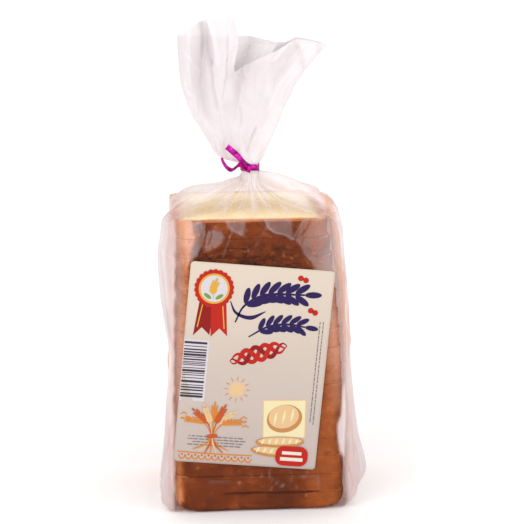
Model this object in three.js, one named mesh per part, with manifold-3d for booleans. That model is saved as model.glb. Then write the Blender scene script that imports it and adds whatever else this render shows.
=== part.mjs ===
// A sliced sandwich loaf that stands on its end in a clear bag. The bag is gathered and
// tied above the loaf with a ribbon, and a paper label is stuck on its front.
// Millimetres, +Z up, front towards -Y, origin at the middle of the loaf's foot.
import * as THREE from "three";
import { mergeVertices } from "three/addons/utils/BufferGeometryUtils.js";
import Module from "manifold-3d";

const wasm = await Module();
wasm.setup();

// Loaf: square slices stacked from the floor up, a little narrower towards the top
const sliceCount = 16;
const sliceThickness = 11.5;
const loafTop = sliceCount * sliceThickness;
const loafHalfDepth = 48.5;
const loafHalfWidthFoot = 53.5;
const loafHalfWidthTop = 47;
const narrowing = 2.2; // the higher, the later it narrows on its way up
const loafLean = -4; // how far the top slice's middle lies to the left of the foot's
const leaning = 3; // the higher, the later it leans
const cornerRadius = 12; // at the back, the front corners carry the side folds
const grooveDepth = 0.5; // between two slices
const sliceScatter = 0.35; // how far one slice sticks out past the next

// Foot of the bag: where it curves in to its flat rest face
const footInset = 4;
const footCurve = 5;

// Side folds of the bag: height above the floor, and how far the film reaches sideways
const leftReach = [
  [0, 56.5], [4, 60.4], [18, 61.8], [27, 61], [36, 59.7], [50, 58.4], [65, 57.6], [80, 56.3],
  [95, 55.5], [104, 55.6], [118, 57.8], [134, 60], [148, 61.2], [157, 61.7], [164, 61.6],
  [171, 60.4], [180, 59.3], [194, 57.6],
];
const rightReach = [
  [0, 57], [5, 61.8], [13, 64.3], [17, 67], [21, 68.7], [29, 67.3], [36, 65.4], [44, 63.3],
  [52, 62.1], [68, 60], [84, 58.4], [99, 57.3], [114, 57], [130, 56.2], [145, 54.8], [160, 53.2],
  [175, 52.1], [183, 49.6], [190, 47.4],
];
const leftFoldY = -37; // where the folds stand, front to back
const rightFoldY = -30;
const foldFlatInset = 4; // the front film starts to bend this far inside the loaf's edge
const foldEndY = -6; // behind this the film lies on the loaf again

// Shoulders: how far in the film has come at each height above the loaf
const shoulderHeight = 22;
const leftShoulder = [
  [0, 1], [0.2, 0.96], [0.35, 0.88], [0.45, 0.8], [0.54, 0.7], [0.6, 0.54], [0.67, 0.38],
  [0.74, 0.29], [0.84, 0.19], [1, 0.108],
];
const rightShoulder = [
  [0, 1], [0.16, 0.99], [0.42, 0.93], [0.48, 0.87], [0.6, 0.76], [0.72, 0.64], [0.81, 0.52],
  [0.9, 0.41], [0.96, 0.29], [1, 0.108],
];
// At the front and the back the film sags onto the top slice, close to the neck
const frontShoulder = [
  [0, 1], [0.06, 0.93], [0.12, 0.77], [0.2, 0.57], [0.32, 0.39], [0.55, 0.24], [0.8, 0.15],
  [1, 0.108],
];
// A broad ridge runs from the neck to each side fold. Its limits, as depth over width
const ridgeFront = [-1.05, -0.62];
const ridgeBack = [0.1, 0.75];
const shoulderPleatDepth = 1.6;

// Neck, where the ribbon goes round
const neckRadius = 5.1;
const neckX = -2.4;
const neckBottom = loafTop + shoulderHeight;
const neckTop = neckBottom + 5.2;

// Fan: the free end of the bag above the neck. Height, left edge and right edge
const fanEdges = [
  [neckTop, neckX - neckRadius, neckX + neckRadius], [214.5, -19.3, 5], [219, -24.4, 7.2],
  [224, -27.6, 9.6], [231, -31.8, 13], [238.5, -36.5, 16.2], [246, -40.1, 18.9],
  [253.4, -42.5, 22.9], [260.8, -44.9, 26], [268, -45.6, 31.2], [275.6, -46.2, 37],
  [284.5, -46.6, 45], [305, -46.6, 46],
];
// Rim of the front and of the back layer, from the left end of the mouth to the right
const frontRim = [
  [0, 290.5], [0.11, 297.5], [0.34, 304], [0.375, 300], [0.4, 289], [0.415, 272], [0.44, 268],
  [0.535, 273], [0.725, 285.5], [0.8, 287.5], [0.9, 286.5], [1, 284.5],
];
const backRim = [
  [0, 290.5], [0.2, 290], [0.4, 290], [0.6, 287], [0.725, 285.5], [0.8, 288], [0.9, 286.5],
  [1, 284.5],
];
const fanThickness = 8; // both layers of film and the air between them
const fanPleatDepth = 12; // how far the mouth's zigzag swings to the front and to the back
const fanPleats = [0, 0.08, 0.18, 0.34, 0.5, 0.66, 0.83, 1]; // where it turns, left to right
const fanPleatSwing = [0.1, -0.55, 0.45, -0.95, 0.7, -0.5, 0.55, -0.1];

// Label
const labelWidth = 88;
const labelHeight = 126;
const labelThickness = 0.6;
const labelCorner = 2;
const labelMiddle = [-4.2, 93.5]; // across and up
const labelTilt = THREE.MathUtils.degToRad(-5.4);
const clearance = 0.5;

// Ribbon
const ribbonWidth = 3.9;
const ribbonThickness = 0.9;
const ribbonMiddle = 209;
const knotSize = [6, 3.4, 4.2];
const knotOffset = [-1.2, -0.8, 0.2]; // from the middle of the loop's front
// Paths of the two cut ends from the knot: across, forward of the loop, and height
const upperEndPath = [[-4.2, -1, 209.4], [-8.7, -2.4, 214.6], [-12.4, -3.2, 218.8], [-17.4, -3.6, 223]];
const lowerEndPath = [
  [-4.4, -1, 209.4], [-9.6, -2.6, 211.8], [-12.2, -3, 209.6], [-14.8, -3.2, 208.3],
  [-18, -3.4, 210.4], [-20.4, -2.4, 215.6],
];
const upperEndWidth = 3.4;
const lowerEndWidth = 2.4;

const faceSegments = 11; // across the front and the back
const foldSegments = 5; // from the front film to a fold's edge, and on to the loaf's side
const sideSegments = 3;
const cornerSegments = 3;
const shoulderRings = 12;
const fanRings = 13;

const { clamp, lerp, smoothstep } = THREE.MathUtils;

// The value at a position, on straight lines between [position, value] stations.
function along(stations, at, column = 1) {
  let i = 1;
  while (i < stations.length - 1 && stations[i][0] < at) i += 1;
  const [low, high] = [stations[i - 1], stations[i]];
  const share = clamp((at - low[0]) / (high[0] - low[0]), 0, 1);
  return lerp(low[column], high[column], share);
}

// The columns of the bag's film, once round from the front's left end, seen from above
// against the clock. `at` runs from 0 to 1 along a column's own stretch.
function makeColumns() {
  const stretches = [
    ["front", 0, faceSegments], ["foldFront", 1, foldSegments], ["foldBack", 1, foldSegments],
    ["side", 1, sideSegments], ["corner", 1, cornerSegments], ["back", 0, faceSegments],
    ["corner", -1, cornerSegments], ["side", -1, sideSegments], ["foldBack", -1, foldSegments],
    ["foldFront", -1, foldSegments],
  ];
  return stretches.flatMap(([kind, sign, count]) => Array.from({ length: count }, (_, i) => (
    // A stretch on the left is walked from the back to the front.
    { kind, sign, at: sign < 0 ? 1 - i / count : i / count }
  )));
}

const columns = makeColumns();
const rightMiddle = columns.findIndex((c) => c.kind === "foldBack" && c.sign > 0 && c.at === 0);
const leftMiddle = columns.findIndex((c) => c.kind === "foldFront" && c.sign < 0 && c.at === 1);

// Share of the way from the left fold to the right fold, over the front or over the back.
columns.forEach((column, i) => {
  const n = columns.length;
  const afterLeft = (i - leftMiddle + n) % n;
  const frontCount = (rightMiddle - leftMiddle + n) % n;
  column.front = afterLeft <= frontCount;
  column.share = column.front ? afterLeft / frontCount : 1 - (afterLeft - frontCount) / (n - frontCount);
});

const loafMiddle = (z) => loafLean * clamp(z / loafTop, 0, 1) ** leaning;
const loafHalfWidth = (z) => (
  lerp(loafHalfWidthFoot, loafHalfWidthTop, clamp(z / loafTop, 0, 1) ** narrowing)
);

// Small side to side shift of each slice, the same on every run.
function sliceShift(z) {
  const slice = clamp(Math.floor(z / sliceThickness), 0, sliceCount - 1);
  return sliceScatter * Math.sin(slice * 2.4 + 0.7);
}

function bend(from, control, to, t) {
  return from.clone().multiplyScalar((1 - t) ** 2)
    .addScaledVector(control, 2 * t * (1 - t))
    .addScaledVector(to, t * t);
}

// A column's point on the loaf-shaped part of the bag, before the slices show through it.
function filmPoint({ kind, sign, at }, z, inset) {
  const halfWidth = loafHalfWidth(z) - inset;
  const halfDepth = loafHalfDepth - inset;
  const middle = loafMiddle(z);
  const flat = halfWidth - foldFlatInset;
  if (kind === "front") return new THREE.Vector2(middle + lerp(-flat, flat, at), -halfDepth);
  const behind = halfWidth - cornerRadius;
  if (kind === "back") return new THREE.Vector2(middle + lerp(behind, -behind, at), halfDepth);
  const edge = middle + sign * halfWidth;
  const cornerY = halfDepth - cornerRadius;
  if (kind === "side") return new THREE.Vector2(edge, lerp(foldEndY, cornerY, at));
  if (kind === "corner") {
    const turn = (Math.PI / 2) * at;
    return new THREE.Vector2(
      middle + sign * (behind + cornerRadius * Math.cos(turn)),
      cornerY + cornerRadius * Math.sin(turn),
    );
  }
  const right = sign > 0;
  const reach = Math.max(along(right ? rightReach : leftReach, z), sign * edge + 0.5);
  const tip = new THREE.Vector2(sign * reach, right ? rightFoldY : leftFoldY);
  if (kind === "foldFront") {
    const start = new THREE.Vector2(middle + sign * flat, -halfDepth);
    return bend(start, new THREE.Vector2(sign * (reach - 2.5), -halfDepth), tip, at);
  }
  const end = new THREE.Vector2(edge, foldEndY);
  return bend(tip, new THREE.Vector2(edge + sign * 1.2, tip.y + 5), end, at);
}

// The same with the grooves between slices. The front film is tight, and hides them.
function bodyPoint(column, z, inset, groove = 0) {
  const tight = column.kind === "front" || column.kind.startsWith("fold");
  const point = filmPoint(column, z, inset + (tight ? 0 : groove));
  return new THREE.Vector3(point.x + (tight ? 0 : sliceShift(z)), point.y, z);
}

// Rings of the loaf-shaped part: the curved foot, then one in each groove and one on each slice.
function bodyRings() {
  const rings = [];
  for (const turn of [0, 0.5, 0.8]) {
    const inset = footInset * (1 - Math.sin((turn * Math.PI) / 2)) + 0.2;
    const z = footCurve * (1 - Math.cos((turn * Math.PI) / 2));
    rings.push(columns.map((c) => bodyPoint(c, z, inset)));
  }
  for (let i = 0; i < sliceCount; i += 1) {
    const floor = i * sliceThickness;
    if (i > 0) rings.push(columns.map((c) => bodyPoint(c, floor, 0, grooveDepth)));
    rings.push(columns.map((c) => bodyPoint(c, floor + sliceThickness * 0.55, 0)));
  }
  return rings;
}

// Sharp-edged waves round the gathered film, the same on every run.
function pleatWave(share, front) {
  const turn = front ? share : 2 - share;
  return 0.6 * Math.sin(turn * 21 + 0.5) + 0.4 * Math.sin(turn * 33 + 2);
}

function shoulderRingsOf() {
  const rings = [];
  for (let ring = 0; ring < shoulderRings; ring += 1) {
    const up = ring / (shoulderRings - 1);
    const height = up ** 1.35;
    rings.push(columns.map((column) => {
      const start = bodyPoint(column, loafTop, 0);
      const outward = new THREE.Vector2(start.x - loafMiddle(loafTop), start.y);
      const slope = outward.y / Math.max(Math.abs(outward.x), 1);
      const sideways = smoothstep(slope, ...ridgeFront) * (1 - smoothstep(slope, ...ridgeBack));
      const sideShoulder = outward.x > 0 ? rightShoulder : leftShoulder;
      const inwards = lerp(along(frontShoulder, height), along(sideShoulder, height), sideways);
      const middle = lerp(loafMiddle(loafTop), neckX, 1 - inwards);
      const depth = shoulderPleatDepth * Math.sin(Math.PI * height);
      const z = loafTop + shoulderHeight * height + depth * pleatWave(column.share, column.front);
      const round = 1 - smoothstep(inwards, 0.108, 0.3);
      const angle = Math.PI * column.share;
      const side = column.front ? -1 : 1;
      return new THREE.Vector3(
        lerp(middle + outward.x * inwards, neckX - neckRadius * Math.cos(angle), round),
        lerp(outward.y * inwards, side * neckRadius * Math.sin(angle), round),
        z,
      );
    }));
  }
  return rings;
}

// How far the fan's zigzag stands to the front or to the back, from -1 to 1.
function zigzag(share) {
  let i = 1;
  while (i < fanPleats.length - 1 && fanPleats[i] < share) i += 1;
  const turn = clamp((share - fanPleats[i - 1]) / (fanPleats[i] - fanPleats[i - 1]), 0, 1);
  return lerp(fanPleatSwing[i - 1], fanPleatSwing[i], lerp(turn, smoothstep(turn, 0, 1), 0.5));
}

function fanRingsOf() {
  const rings = [];
  for (let ring = 0; ring < fanRings; ring += 1) {
    const up = (ring / (fanRings - 1)) ** 1.25;
    rings.push(columns.map((column) => {
      const { share } = column;
      const rim = along(column.front ? frontRim : backRim, share);
      const z = lerp(neckTop, rim, up);
      const left = along(fanEdges, z, 1);
      const right = along(fanEdges, z, 2);
      const side = column.front ? -1 : 1;
      const angle = Math.PI * share;
      const opened = smoothstep(z, neckTop, neckTop + 16);
      const roundX = (left + right) / 2 - ((right - left) / 2) * Math.cos(angle);
      const roundY = side * neckRadius * Math.sin(angle);
      const ends = Math.sqrt(1 - (2 * share - 1) ** 6);
      const swing = fanPleatDepth * smoothstep(z, neckTop, 285) * zigzag(share);
      return new THREE.Vector3(
        lerp(roundX, lerp(left, right, share), opened),
        lerp(roundY, side * ends * fanThickness * 0.5, opened) + swing,
        z,
      );
    }));
  }
  return rings;
}

// A closed geometry over rings of points, with a flat foot and a lid across the fan's mouth.
function loft(rings, middleOfFoot) {
  const n = columns.length;
  const points = rings.flat();
  const faces = [];
  for (let ring = 0; ring + 1 < rings.length; ring += 1) {
    for (let i = 0; i < n; i += 1) {
      const [a, b] = [ring * n + i, ring * n + ((i + 1) % n)];
      faces.push(a, b, b + n, a, b + n, a + n);
    }
  }
  const foot = points.push(middleOfFoot) - 1;
  for (let i = 0; i < n; i += 1) faces.push(foot, (i + 1) % n, i);
  const top = (rings.length - 1) * n;
  const rimFrom = (step) => {
    const rim = [leftMiddle];
    while (rim.at(-1) !== rightMiddle) rim.push((rim.at(-1) + step + n) % n);
    return rim;
  };
  const [frontOrder, backOrder] = [rimFrom(1), rimFrom(-1)];
  const shareOf = (order, i) => (i < order.length ? columns[order[i]].share : Infinity);
  // Walks both rims from left to right, and steps along whichever is behind.
  let [f, b] = [0, 0];
  while (f + 1 < frontOrder.length || b + 1 < backOrder.length) {
    const frontStep = shareOf(frontOrder, f + 1) <= shareOf(backOrder, b + 1);
    const next = frontStep ? frontOrder[f + 1] : backOrder[b + 1];
    const face = [frontOrder[f], next, backOrder[b]];
    if (new Set(face).size === 3) faces.push(...face.map((i) => top + i));
    if (frontStep) f += 1;
    else b += 1;
  }
  const geometry = new THREE.BufferGeometry().setFromPoints(points);
  geometry.setIndex(faces);
  geometry.computeVertexNormals();
  return geometry;
}

// A flat band along a path: at each station its middle and the direction of its width.
function band(stations, width, thickness) {
  const points = [];
  const faces = [];
  stations.forEach(([middle, across], i) => {
    const before = stations[Math.max(0, i - 1)][0];
    const after = stations[Math.min(stations.length - 1, i + 1)][0];
    const ahead = after.clone().sub(before).normalize();
    const wide = across.clone().normalize().multiplyScalar(width / 2);
    const thick = ahead.clone().cross(wide).normalize().multiplyScalar(thickness / 2);
    points.push(
      middle.clone().sub(wide).sub(thick),
      middle.clone().add(wide).sub(thick),
      middle.clone().add(wide).add(thick),
      middle.clone().sub(wide).add(thick),
    );
  });
  for (let i = 0; i + 1 < stations.length; i += 1) {
    for (let k = 0; k < 4; k += 1) {
      const [a, b] = [4 * i + k, 4 * i + ((k + 1) % 4)];
      faces.push(a, b, b + 4, a, b + 4, a + 4);
    }
  }
  const last = 4 * (stations.length - 1);
  faces.push(0, 2, 1, 0, 3, 2, last, last + 1, last + 2, last, last + 2, last + 3);
  const geometry = new THREE.BufferGeometry().setFromPoints(points);
  geometry.setIndex(faces);
  return geometry;
}

// Stations of a band along a smooth curve, with its width turning evenly from one direction to another.
function bandStations(points, acrossFrom, acrossTo, steps) {
  const curve = new THREE.CatmullRomCurve3(points.map((p) => new THREE.Vector3(...p)));
  const [from, to] = [new THREE.Vector3(...acrossFrom), new THREE.Vector3(...acrossTo)];
  return curve.getSpacedPoints(steps).map((p, i) => [p, from.clone().lerp(to, i / steps)]);
}

function solidOf(geometry) {
  const bare = new THREE.BufferGeometry();
  bare.setAttribute("position", geometry.getAttribute("position"));
  bare.setIndex(geometry.index);
  const merged = mergeVertices(bare, 1e-4);
  const made = new wasm.Manifold(new wasm.Mesh({
    numProp: 3,
    vertProperties: merged.getAttribute("position").array,
    triVerts: new Uint32Array(merged.index.array),
  }));
  return made;
}

function geometryOf(solid) {
  const mesh = solid.getMesh();
  const geometry = new THREE.BufferGeometry();
  geometry.setAttribute("position", new THREE.BufferAttribute(mesh.vertProperties, 3));
  geometry.setIndex(new THREE.BufferAttribute(mesh.triVerts, 1));
  geometry.computeVertexNormals();
  return geometry;
}

// The ribbon goes once round the neck, and its knot and two cut ends lie to the front left.
function ribbonGeometry() {
  const inner = neckRadius + clearance;
  const [low, high] = [ribbonMiddle - ribbonWidth / 2, ribbonMiddle + ribbonWidth / 2];
  const loop = new THREE.LatheGeometry([
    new THREE.Vector2(inner, low),
    new THREE.Vector2(inner + ribbonThickness, low),
    new THREE.Vector2(inner + ribbonThickness, high),
    new THREE.Vector2(inner, high),
    new THREE.Vector2(inner, low),
  ], 28);
  loop.rotateX(Math.PI / 2);
  loop.translate(neckX, 0, 0);
  const front = -(inner + ribbonThickness);
  const knot = new THREE.SphereGeometry(0.5, 10, 8);
  knot.scale(...knotSize);
  knot.translate(neckX + knotOffset[0], front + knotOffset[1], ribbonMiddle + knotOffset[2]);
  const placed = (path) => path.map(([x, y, z]) => [x, front + y, z]);
  const upperEnd = bandStations(placed(upperEndPath), [0.6, 0.2, 0.6], [0.6, 0, 0.8], 9);
  const lowerEnd = bandStations(placed(lowerEndPath), [0.1, 0.1, 1], [0.3, -0.9, 0.3], 14);
  const pieces = [
    loop,
    knot,
    band(upperEnd, upperEndWidth, ribbonThickness),
    band(lowerEnd, lowerEndWidth, ribbonThickness),
  ];
  return geometryOf(pieces.map(solidOf).reduce((sum, piece) => sum.add(piece)));
}

// How far in front of the middle the front film stands.
function frontFilmAt(x, z) {
  const front = columns.filter((c) => c.front).sort((p, q) => p.share - q.share);
  return -along(front.map((c) => filmPoint(c, z, 0)).map((p) => [p.x, p.y]), x);
}

// The label lies on the front film and bends with it. Both of its faces are a grid of points.
function labelGeometry() {
  const [w, h, r] = [labelWidth / 2, labelHeight / 2, labelCorner];
  const inner = (half, count) => (
    Array.from({ length: count + 1 }, (_, i) => lerp(r - half, half - r, i / count))
  );
  const across = [-w, ...inner(w, 20), w];
  const up = [-h, ...inner(h, 8), h];
  const points = [];
  for (const lift of [0, labelThickness]) {
    for (const v of up) {
      for (const u of across) {
        const cut = Math.abs(u) === w && Math.abs(v) === h ? 0.29 * r : 0;
        const flat = new THREE.Vector2(u - Math.sign(u) * cut, v - Math.sign(v) * cut);
        flat.rotateAround(new THREE.Vector2(), labelTilt).add(new THREE.Vector2(...labelMiddle));
        points.push(new THREE.Vector3(flat.x, -frontFilmAt(flat.x, flat.y) - clearance - lift, flat.y));
      }
    }
  }
  const [nu, nv] = [across.length, up.length];
  const faces = [];
  for (let j = 0; j + 1 < nv; j += 1) {
    for (let i = 0; i + 1 < nu; i += 1) {
      const a = j * nu + i;
      const front = a + nu * nv;
      faces.push(front, front + 1, front + nu + 1, front, front + nu + 1, front + nu);
      faces.push(a, a + nu + 1, a + 1, a, a + nu, a + nu + 1);
    }
  }
  const rim = [
    ...Array.from({ length: nu - 1 }, (_, i) => i),
    ...Array.from({ length: nv - 1 }, (_, j) => j * nu + nu - 1),
    ...Array.from({ length: nu - 1 }, (_, i) => nu * nv - 1 - i),
    ...Array.from({ length: nv - 1 }, (_, j) => (nv - 1 - j) * nu),
  ];
  rim.forEach((a, i) => {
    const b = rim[(i + 1) % rim.length];
    faces.push(a, b, b + nu * nv, a, b + nu * nv, a + nu * nv);
  });
  const geometry = new THREE.BufferGeometry().setFromPoints(points);
  geometry.setIndex(faces);
  geometry.computeVertexNormals();
  return geometry;
}

function finish(color, roughness, metalness, opacity = 1) {
  return new THREE.MeshStandardMaterial({ color, roughness, metalness, opacity, transparent: opacity < 1 });
}

function named(name, geometry, material) {
  const mesh = new THREE.Mesh(geometry, material);
  mesh.name = name;
  return mesh;
}

const bagRings = [...bodyRings(), ...shoulderRingsOf(), ...fanRingsOf()];
const footMiddle = new THREE.Vector3(0, 0, 0);

const loafInBag = new THREE.Group();
loafInBag.add(named("bag", loft(bagRings, footMiddle), finish(0xb98a6e, 0.35, 0, 0.9)));

loafInBag.add(named("label", labelGeometry(), finish(0xe3d8cb, 0.45, 0)));
loafInBag.add(named("ribbon", ribbonGeometry(), finish(0xb3128f, 0.25, 0.8)));

export default loafInBag;
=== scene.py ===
# %% [markdown]
# # A sliced loaf in a clear bread bag
# The real thing is a square sandwich loaf, cut into slices and slid into a thin clear bag.
# The bag is gathered above the bread, tied with a curling ribbon, and its free end fans out.
# A printed paper label sticks on the front. The CAD model holds the bag as one solid, so here
# that solid is replaced by what is really there: film, and the slices that show through it.

import math

import bpy
import numpy as np
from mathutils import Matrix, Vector, geometry, noise


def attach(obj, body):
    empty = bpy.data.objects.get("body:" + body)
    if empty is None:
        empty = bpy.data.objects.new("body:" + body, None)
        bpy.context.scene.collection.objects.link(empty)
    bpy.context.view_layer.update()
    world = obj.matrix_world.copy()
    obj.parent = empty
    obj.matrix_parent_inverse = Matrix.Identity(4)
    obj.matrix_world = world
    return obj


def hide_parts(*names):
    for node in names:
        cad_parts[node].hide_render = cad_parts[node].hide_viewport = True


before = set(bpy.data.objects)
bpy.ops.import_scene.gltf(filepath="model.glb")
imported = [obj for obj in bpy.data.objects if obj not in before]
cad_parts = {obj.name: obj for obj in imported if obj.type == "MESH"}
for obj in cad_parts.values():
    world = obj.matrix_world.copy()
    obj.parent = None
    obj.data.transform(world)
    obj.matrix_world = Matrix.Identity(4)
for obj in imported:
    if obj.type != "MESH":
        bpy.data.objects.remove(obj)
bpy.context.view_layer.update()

# %% [markdown]
# ## Units and small helpers
# Every size below is in millimetres, as in a maker's drawing, and a mesh is scaled to metres
# once, when it is made. Most shapes here are grids of points, so one helper turns rows of
# points into faces. Noise comes from Blender's own noise module: it has no hidden state, so
# the script gives the same bag on every run.

# %% Mesh and noise helpers
MM = 0.001


def add_mesh(name, points, faces, materials):
    """A new smooth object at the origin from points in millimetres."""
    mesh = bpy.data.meshes.new(name)
    mesh.from_pydata((np.asarray(points) * MM).tolist(), [], faces)
    mesh.polygons.foreach_set("use_smooth", [True] * len(mesh.polygons))
    for material in materials:
        mesh.materials.append(material)
    mesh.update()
    piece = bpy.data.objects.new(name, mesh)
    bpy.context.scene.collection.objects.link(piece)
    return piece


def grid_faces(rows, columns, closed=False, first=0):
    """Quads between rows of points. A closed row joins its last point to its first."""
    faces = []
    for row in range(rows - 1):
        for column in range(columns if closed else columns - 1):
            a = first + row * columns + column
            b = first + row * columns + (column + 1) % columns
            faces.append((a, b, b + columns, a + columns))
    return faces


def smoothstep(x, low, high):
    """A smooth step from 0 at `low` to 1 at `high`, which may be the smaller one."""
    share = np.clip((x - low) / (high - low), 0, 1)
    return share * share * (3 - 2 * share)


def between(x, low, full, still_full, high):
    """1 from `full` to `still_full`, and 0 below `low` and above `high`."""
    return smoothstep(x, low, full) * smoothstep(x, high, still_full)


def stations(table, at, column=1):
    """Values on straight lines between stations: rows of a position and its values."""
    return np.interp(at, [row[0] for row in table], [row[column] for row in table])


def soft_noise(points, size, seed):
    """Smooth noise from -1 to 1 at each point, with lumps about `size` across."""
    shift = Vector((seed * 17.3, seed * 5.1, seed * 11.9))
    return np.array([noise.noise(Vector(p) / size + shift) for p in points])


# %% [markdown]
# ## Node helpers
# Materials and the stack of slices are node trees. A small class wraps a socket, so that
# shader maths reads as Python, and one method adds any other node.

# %% Node helpers
class Value:
    """An output socket. Python's operators on it add Math nodes."""

    def __init__(self, nodes, socket):
        self.nodes = nodes
        self.socket = socket

    def math(self, operation, *others):
        sockets = dict(enumerate([self, *others]))
        return self.nodes.add("ShaderNodeMath", {"operation": operation}, sockets)

    def __add__(self, other):
        return self.math("ADD", other)

    def __sub__(self, other):
        return self.math("SUBTRACT", other)

    def __mul__(self, other):
        return self.math("MULTIPLY", other)

    def __truediv__(self, other):
        return self.math("DIVIDE", other)

    def __rsub__(self, other):
        return self.math("MULTIPLY", -1).math("ADD", other)

    __radd__ = __add__

    def __pow__(self, other):
        return self.math("POWER", other)

    def __abs__(self):
        return self.math("ABSOLUTE")

    def step(self, low, high):
        """A smooth step from 0 at `low` to 1 at `high`, which may be the smaller one."""
        sockets = {"Value": self, "From Min": low, "From Max": high}
        settings = {"interpolation_type": "SMOOTHSTEP"}
        return self.nodes.add("ShaderNodeMapRange", settings, sockets)

    def between(self, low, full, still_full, high):
        """1 from `full` to `still_full`, and 0 below `low` and above `high`."""
        return self.step(low, full) * self.step(high, still_full)


class Nodes:
    """A node tree that is filled from Python."""

    def __init__(self, tree):
        self.tree = tree

    def add(self, kind, settings=None, sockets=None, out=0):
        node = self.tree.nodes.new(kind)
        for key, value in (settings or {}).items():
            if key == "stops":
                self.set_stops(node.color_ramp, value)
            else:
                setattr(node, key, value)
        for key, value in (sockets or {}).items():
            if isinstance(value, Value):
                self.tree.links.new(value.socket, node.inputs[key])
            else:
                node.inputs[key].default_value = value
        return Value(self, node.outputs[out]) if node.outputs else node

    def set_stops(self, ramp, stops):
        while len(ramp.elements) < len(stops):
            ramp.elements.new(1)
        for element, (position, color) in zip(ramp.elements, stops):
            element.position = position
            element.color = color

    def mix(self, factor, a, b):
        """A mix of two colours."""
        return self.add("ShaderNodeMix", {"data_type": "RGBA"}, {0: factor, 6: a, 7: b}, 2)

    def vector(self, **axes):
        """A vector from its X, Y and Z."""
        return self.add("ShaderNodeCombineXYZ", {}, axes)

    def bump(self, strength, distance, height):
        """A normal that follows `height`, with steps of `distance` in metres."""
        sockets = {"Strength": strength, "Distance": distance, "Height": height}
        return self.add("ShaderNodeBump", {}, sockets)

    def ramp(self, factor, stops):
        """A colour from `factor`, between stops of position and colour."""
        return self.add("ShaderNodeValToRGB", {"stops": stops}, {0: factor})

    def show(self, shader):
        self.add("ShaderNodeOutputMaterial", {}, {"Surface": shader})

    def show_solid(self, sockets):
        """Shows an opaque surface, given the values that differ from Blender's own."""
        self.show(self.add("ShaderNodeBsdfPrincipled", {}, sockets))


def srgb(red, green, blue):
    """A linear colour from the 0 to 255 numbers of a picture."""
    channels = [c / 255 for c in (red, green, blue)]
    return (*[c / 12.92 if c <= 0.04045 else ((c + 0.055) / 1.055) ** 2.4 for c in channels], 1)


def new_finish(name):
    """A material with an empty node tree."""
    material = bpy.data.materials.new(name)
    material.use_nodes = True
    material.node_tree.nodes.clear()
    return material, Nodes(material.node_tree)


# %% [markdown]
# ## The photograph's view
# The picture was taken a little from the left and from a little above, with a long lens, so
# that upright edges stay upright. The camera comes first, because everything is compared
# with the picture through it.

# %% Camera
CAMERA_AZIMUTH = math.radians(-5)
CAMERA_ELEVATION = math.radians(12.5)
CAMERA_DISTANCE = 1300
CAMERA_TARGET = Vector((0, -20, 152.5))
IMAGE_WIDTH = 524
PIXELS_PER_MM = 1.62
TARGET_LEFT_OF_MIDDLE = 5.5

back = Vector((
    math.sin(CAMERA_AZIMUTH) * math.cos(CAMERA_ELEVATION),
    -math.cos(CAMERA_AZIMUTH) * math.cos(CAMERA_ELEVATION),
    math.sin(CAMERA_ELEVATION),
))
camera = bpy.data.objects.new("camera", bpy.data.cameras.new("camera"))
camera.location = (CAMERA_TARGET + back * CAMERA_DISTANCE) * MM
camera.rotation_euler = (-back).to_track_quat("-Z", "Y").to_euler()
camera.data.lens = camera.data.sensor_width * PIXELS_PER_MM * CAMERA_DISTANCE / IMAGE_WIDTH
camera.data.shift_x = TARGET_LEFT_OF_MIDDLE / IMAGE_WIDTH
bpy.context.scene.collection.objects.link(camera)
bpy.context.scene.camera = camera
print("lens in mm:", round(camera.data.lens, 1))

# %% [markdown]
# ## Driving sizes
# They are the CAD model's own, so that each piece here stands in the space of its solid.

# %% Loaf, shoulder and fan sizes
SLICES = 16
SLICE_PITCH = 11.5
LOAF_TOP = SLICES * SLICE_PITCH
HALF_DEPTH = 48.5
HALF_WIDTH_FOOT = 53.5
HALF_WIDTH_TOP = 47
NARROWING = 2.2  # the higher, the later the loaf narrows on its way up
LOAF_LEAN = -4
LEANING = 3
CORNER_RADIUS = 12

# How far the bag's folds reach to the left and to the right of the middle: height, reach
LEFT_REACH = [
    [0, 56.5], [4, 60.4], [18, 61.8], [27, 61], [36, 59.7], [50, 58.4], [65, 57.6], [80, 56.3],
    [95, 55.5], [104, 55.6], [118, 57.8], [134, 60], [148, 61.2], [157, 61.7], [164, 61.6],
    [171, 60.4], [180, 59.3], [194, 57.6],
]
RIGHT_REACH = [
    [0, 57], [5, 61.8], [13, 64.3], [17, 67], [21, 68.7], [29, 67.3], [36, 65.4], [44, 63.3],
    [52, 62.1], [68, 60], [84, 58.4], [99, 57.3], [114, 57], [130, 56.2], [145, 54.8],
    [160, 53.2], [175, 52.1], [183, 49.6], [190, 47.4],
]
LEFT_FOLD_Y = -37
RIGHT_FOLD_Y = -30
FOLD_FLAT_INSET = 4
FOLD_END_Y = -6
FOLD_ROUNDING = 2.5
FOLD_TUCK = (1.2, 5)  # from the loaf's side outwards, and from the fold's edge backwards
FOLD_STEPS = 16
LEAST_FOLD = 0.5

# The shoulders, from the loaf's top (0) to the neck (1): height, and how much of the row's
# width or depth is left there
SHOULDER_HEIGHT = 22
NECK_SHARE = 0.108
LEFT_SHOULDER = [
    [0, 1], [0.2, 0.96], [0.35, 0.88], [0.45, 0.8], [0.54, 0.7], [0.6, 0.54], [0.67, 0.38],
    [0.74, 0.29], [0.84, 0.19], [1, NECK_SHARE],
]
RIGHT_SHOULDER = [
    [0, 1], [0.16, 0.99], [0.42, 0.93], [0.48, 0.87], [0.6, 0.76], [0.72, 0.64], [0.81, 0.52],
    [0.9, 0.41], [0.96, 0.29], [1, NECK_SHARE],
]
FRONT_SHOULDER = [
    [0, 1], [0.06, 0.93], [0.12, 0.77], [0.2, 0.57], [0.32, 0.39], [0.55, 0.24], [0.8, 0.15],
    [1, NECK_SHARE],
]
# Two broad ridges run from the neck to the side folds. Depth over width at their limits:
RIDGE = (-1.05, -0.62, 0.1, 0.75)

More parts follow.
